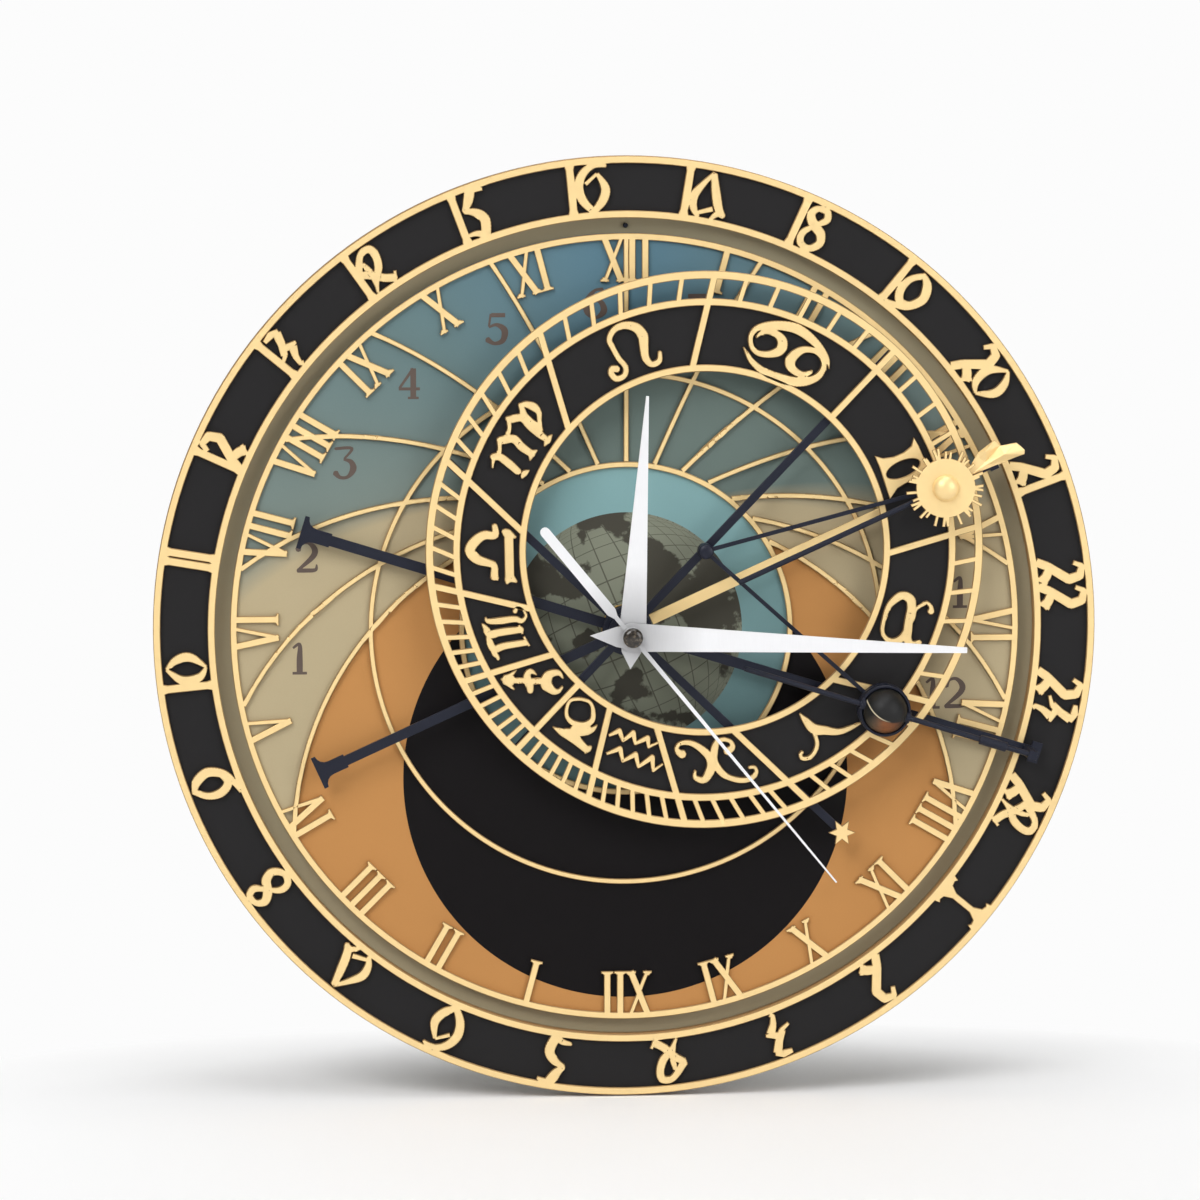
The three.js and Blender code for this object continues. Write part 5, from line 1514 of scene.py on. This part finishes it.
class CLOCK_OT_arms(Operator):
    """Sun and moon arms with their rods, links and sliders"""

    bl_idname = "clock.arms"
    bl_label = "Arms and Rods"

    def execute(self, context):
        for node in ("sun_tail", "sun_rod", "moon_arm", "moon_rod", "sun_link", "moon_link"):
            dress(node, "navy_paint", 0.15)
        for node in ("sun_bar", "sun_carriage"):
            dress(node, "gilt_sheet", 0.15)
        dress("moon_sleeve", "navy_paint", 0.1)
        return {"FINISHED"}


class CLOCK_OT_sun(Operator):
    """The sun's disc with its dome and uneven rays, and the pointing hand"""

    bl_idname = "clock.sun"
    bl_label = "Sun and Pointer"

    def execute(self, context):
        make_sun()
        make_pointer()
        return {"FINISHED"}


# The sun's disc, the ends of its rays and its dome, as distances from its middle
SUN_DISC = 10.7
RAY_FOOT = 10.0
RAY_TIP = 13.6
SUN_DOME = 4.8
SUN_SHEET = 1.0
# How many degrees a ray leans to either side where it is one of a forked pair
FORK = 3.4


def make_sun():
    """A disc with rays of uneven length and lean, every fourth one forked, under a dome."""
    back, front = levels("sun_disc")
    centre = middle("sun_disc")
    count = sizes().sun_rays
    panels = [circle(SUN_DISC, 72, centre)]
    for i in range(count):
        at = 360 * i / count + 4 * math.sin(i * 2.3)
        reach = RAY_TIP + 0.9 * math.sin(i * 4.1)
        for lean in (-FORK, FORK) if i % 4 == 0 else (2.5 * math.sin(i * 1.7),):
            foot = [polar(RAY_FOOT, at + lean / 2 - 3.0), polar(RAY_FOOT, at + lean / 2 + 3.0)]
            tip = [polar(reach, at + lean + 2.1), polar(reach, at + lean - 2.1)]
            panels.append(moved(foot + tip, *centre))
    top = back + SUN_SHEET
    disc = sheet("sun_rays", panels, back, top, 0.2)
    use_finish(disc, "gilt_sheet", "sun", ["sun_disc"])
    profile = [(0, back + 0.3), (SUN_DOME, back + 0.3), (SUN_DOME, top)] + dome(SUN_DOME, top, front, 12)
    rise = revolve("sun_dome", profile, (centre[0], 0, centre[1]), steps=48)
    use_finish(rise, "gilt_sheet", "sun", look="gilt_round")


# The pointing hand, in millimetres along and beside the sun's arm from the sun's middle, and out of the wall
HAND_OUTLINE = [
    (10.2, 0.2, 45.2), (27.5, -0.6, 45.4), (30.8, -0.9, 45.6), (31.5, 0.4, 45.8), (30.6, 2.6, 46.2),
    (29.8, 4.1, 46.4), (24.1, 5.5, 45.5), (23.0, 8.3, 46.6), (15.8, 6.6, 45.7), (9.3, 1.9, 45.3),
]
HAND_FOLDS = [(18.5, 6.2, 47.6), (17.0, 2.5, 45.6), (24.0, 2.4, 48.0), (15.4, 4.7, 45.7), (15.8, 1.3, 45.7)]
HAND_FACES = [
    (9, 8, 13), (8, 10, 13), (8, 7, 10), (7, 6, 10), (9, 13, 11), (13, 10, 11), (10, 6, 11), (0, 9, 11),
    (11, 6, 12), (6, 5, 12), (5, 4, 12), (4, 3, 12), (3, 2, 12), (2, 1, 12), (11, 12, 14), (0, 11, 14),
    (1, 0, 14), (1, 14, 12),
]


def make_pointer():
    """A hand folded from sheet in two leaves, on a flat back."""
    back = levels("sun_pointer")[0]
    centre = middle("sun_disc")
    turn = math.degrees(sizes().sun_turn)
    count = len(HAND_OUTLINE)
    shape = HAND_OUTLINE + HAND_FOLDS + [(u, v, back) for u, v, out in HAND_OUTLINE]
    points = []
    for u, v, out in shape:
        x, z = turned([(u, v)], turn, centre)[0]
        points.append((x * MM, -out * MM, z * MM))
    under = count + len(HAND_FOLDS)
    faces = list(HAND_FACES) + [tuple(range(under, under + count))]
    for i in range(count):
        k = (i + 1) % count
        faces.append((i, k, under + k, under + i))
    hand = from_points("pointing_hand", points, faces)
    face_outwards(hand)
    pick(hand)
    bpy.ops.object.modifier_add(type="BEVEL")
    soft = hand.modifiers[-1]
    soft.width = 0.25 * MM
    soft.segments = 2
    bpy.ops.object.modifier_apply(modifier=soft.name)
    use_finish(hand, "gilt_sheet", "sun_arm", ["sun_pointer"], look="gilt_round")


# The bore through the moon, and the bezel round it: its gap, width and half its depth
MOON_BORE = 2.4
BEZEL_GAP = 0.2
BEZEL_WIDTH = 1.1
BEZEL_HALF = 0.9


class CLOCK_OT_moon(Operator):
    """The glossy half-dark moon ball and the bezel round it"""

    bl_idname = "clock.moon"
    bl_label = "Moon"

    def execute(self, context):
        x, z = middle("moon_ball")
        back, front = levels("moon_ball")
        r, out = (front - back) / 2, (back + front) / 2
        start = math.degrees(math.asin(MOON_BORE / r))
        arc = [polar(r, start + (180 - 2 * start) * step / 32) for step in range(32, -1, -1)]
        profile = [(across, along) for along, across in arc + arc[:1]]
        turn = sizes().moon_turn
        rod = (math.cos(turn), 0, math.sin(turn))
        ball = revolve("moon_globe", profile, (x, -out, z), rod, (0, -1, 0), 64, 60)
        use_finish(ball, "moon_gloss", "moon_ball", ["moon_ball"])
        inner = r + BEZEL_GAP
        rim = softened(inner, inner + BEZEL_WIDTH, out - BEZEL_HALF, out + BEZEL_HALF, 0.3)
        bezel = revolve("moon_bezel", rim, (x, 0, z), steps=72)
        use_finish(bezel, "navy_paint", "moon_slider")
        return {"FINISHED"}


class CLOCK_OT_hands(Operator):
    """Hour, minute and second hands and the boss that caps them"""

    bl_idname = "clock.hands"
    bl_label = "Hands"

    def execute(self, context):
        for node in ("hour_hand", "minute_hand", "second_hand"):
            dress(node, "hand_metal", 0.12)
        make_cap()
        return {"FINISHED"}


def make_cap():
    """A bright ring with a dark boss in it."""
    back, front = levels("hand_cap")
    r = radius_of("hand_cap")
    inner, boss = r - 0.3, r - 0.35
    low_edge, lip, top = back + 0.4, back + 0.95, back + 1.0
    ring = [
        (0, back), (r, back), (r, back + 0.8), (r - 0.12, lip), (inner, lip),
        (inner, low_edge), (0, low_edge), (0, back),
    ]
    collar = revolve("cap_ring", ring, steps=64)
    use_finish(collar, "hand_metal", "second")
    profile = [(0, back + 0.5), (boss, back + 0.5), (boss, top)] + dome(boss, top, front, 10, 0.6)
    cap = revolve("cap_boss", profile, steps=64)
    use_finish(cap, "cap_gloss", "second", ["hand_cap"])


# Pieces with teeth, or thin ones between them, keep their corners
TOOTHED = ("train_bridge", "intermediate_wheel", "third_wheel", "seconds_wheel", "hour_wheel", "minute_tube")


class CLOCK_OT_movement(Operator):
    """The movement, its fixings and the hanger behind the dial"""

    bl_idname = "clock.movement"
    bl_label = "Movement"

    def execute(self, context):
        by_slot = {
            "case_plastic": ("movement_shell", "movement_cover", "setting_knob"),
            "brass_fitting": ("bushing", "hex_nut", "dial_washer", "minute_tube"),
            "plain_steel": (
                "hanger", "contact_plus", "contact_minus", "quartz_crystal",
                "stator", "rotor", "seconds_wheel",
            ),
            "gear_plastic": ("train_bridge", "intermediate_wheel", "third_wheel", "hour_wheel"),
            "navy_paint": ("hub_retainer",),
            "washer_rubber": ("rubber_washer",),
            "cell_jacket": ("battery",),
            "board_green": ("circuit_board",),
            "coil_wire": ("coil",),
        }
        for slot_name, names in by_slot.items():
            for name in names:
                dress(name, slot_name, 0.0 if name in TOOTHED else 0.1)
        return {"FINISHED"}


class CLOCK_PT_panel(Panel):
    """Lists the clock's pieces in the 3D view's sidebar"""

    bl_idname = "CLOCK_PT_panel"
    bl_label = "Astronomical Wall Clock"
    bl_space_type = "VIEW_3D"
    bl_region_type = "UI"
    bl_category = "Wall Clock"

    def draw(self, context):
        for name in STEPS:
            self.layout.operator("clock." + name)
        for group in (context.scene.clock_sizes, context.scene.clock_colours):
            box = self.layout.box()
            for prop in group.bl_rna.properties:
                if prop.identifier not in ("rna_type", "name"):
                    box.prop(group, prop.identifier)


STEPS = [
    "stage", "backing", "printed_figures", "dial_fret", "hour_ring", "zodiac_ring",
    "zodiac_mount", "arms", "sun", "moon", "hands", "movement",
]
CLASSES = [
    ClockSizes, ClockColours, CLOCK_OT_stage, CLOCK_OT_backing, CLOCK_OT_printed_figures,
    CLOCK_OT_dial_fret, CLOCK_OT_hour_ring, CLOCK_OT_zodiac_ring, CLOCK_OT_zodiac_mount,
    CLOCK_OT_arms, CLOCK_OT_sun, CLOCK_OT_moon, CLOCK_OT_hands, CLOCK_OT_movement, CLOCK_PT_panel,
]


def register():
    for item in CLASSES:
        bpy.utils.register_class(item)
    bpy.types.Scene.clock_sizes = PointerProperty(type=ClockSizes)
    bpy.types.Scene.clock_colours = PointerProperty(type=ClockColours)


def unregister():
    del bpy.types.Scene.clock_colours
    del bpy.types.Scene.clock_sizes
    for item in reversed(CLASSES):
        bpy.utils.unregister_class(item)


def main():
    register()
    finishes.update(make_finishes())
    for name in STEPS:
        getattr(bpy.ops.clock, name)()
    deselect()


if __name__ == "__main__":
    main()
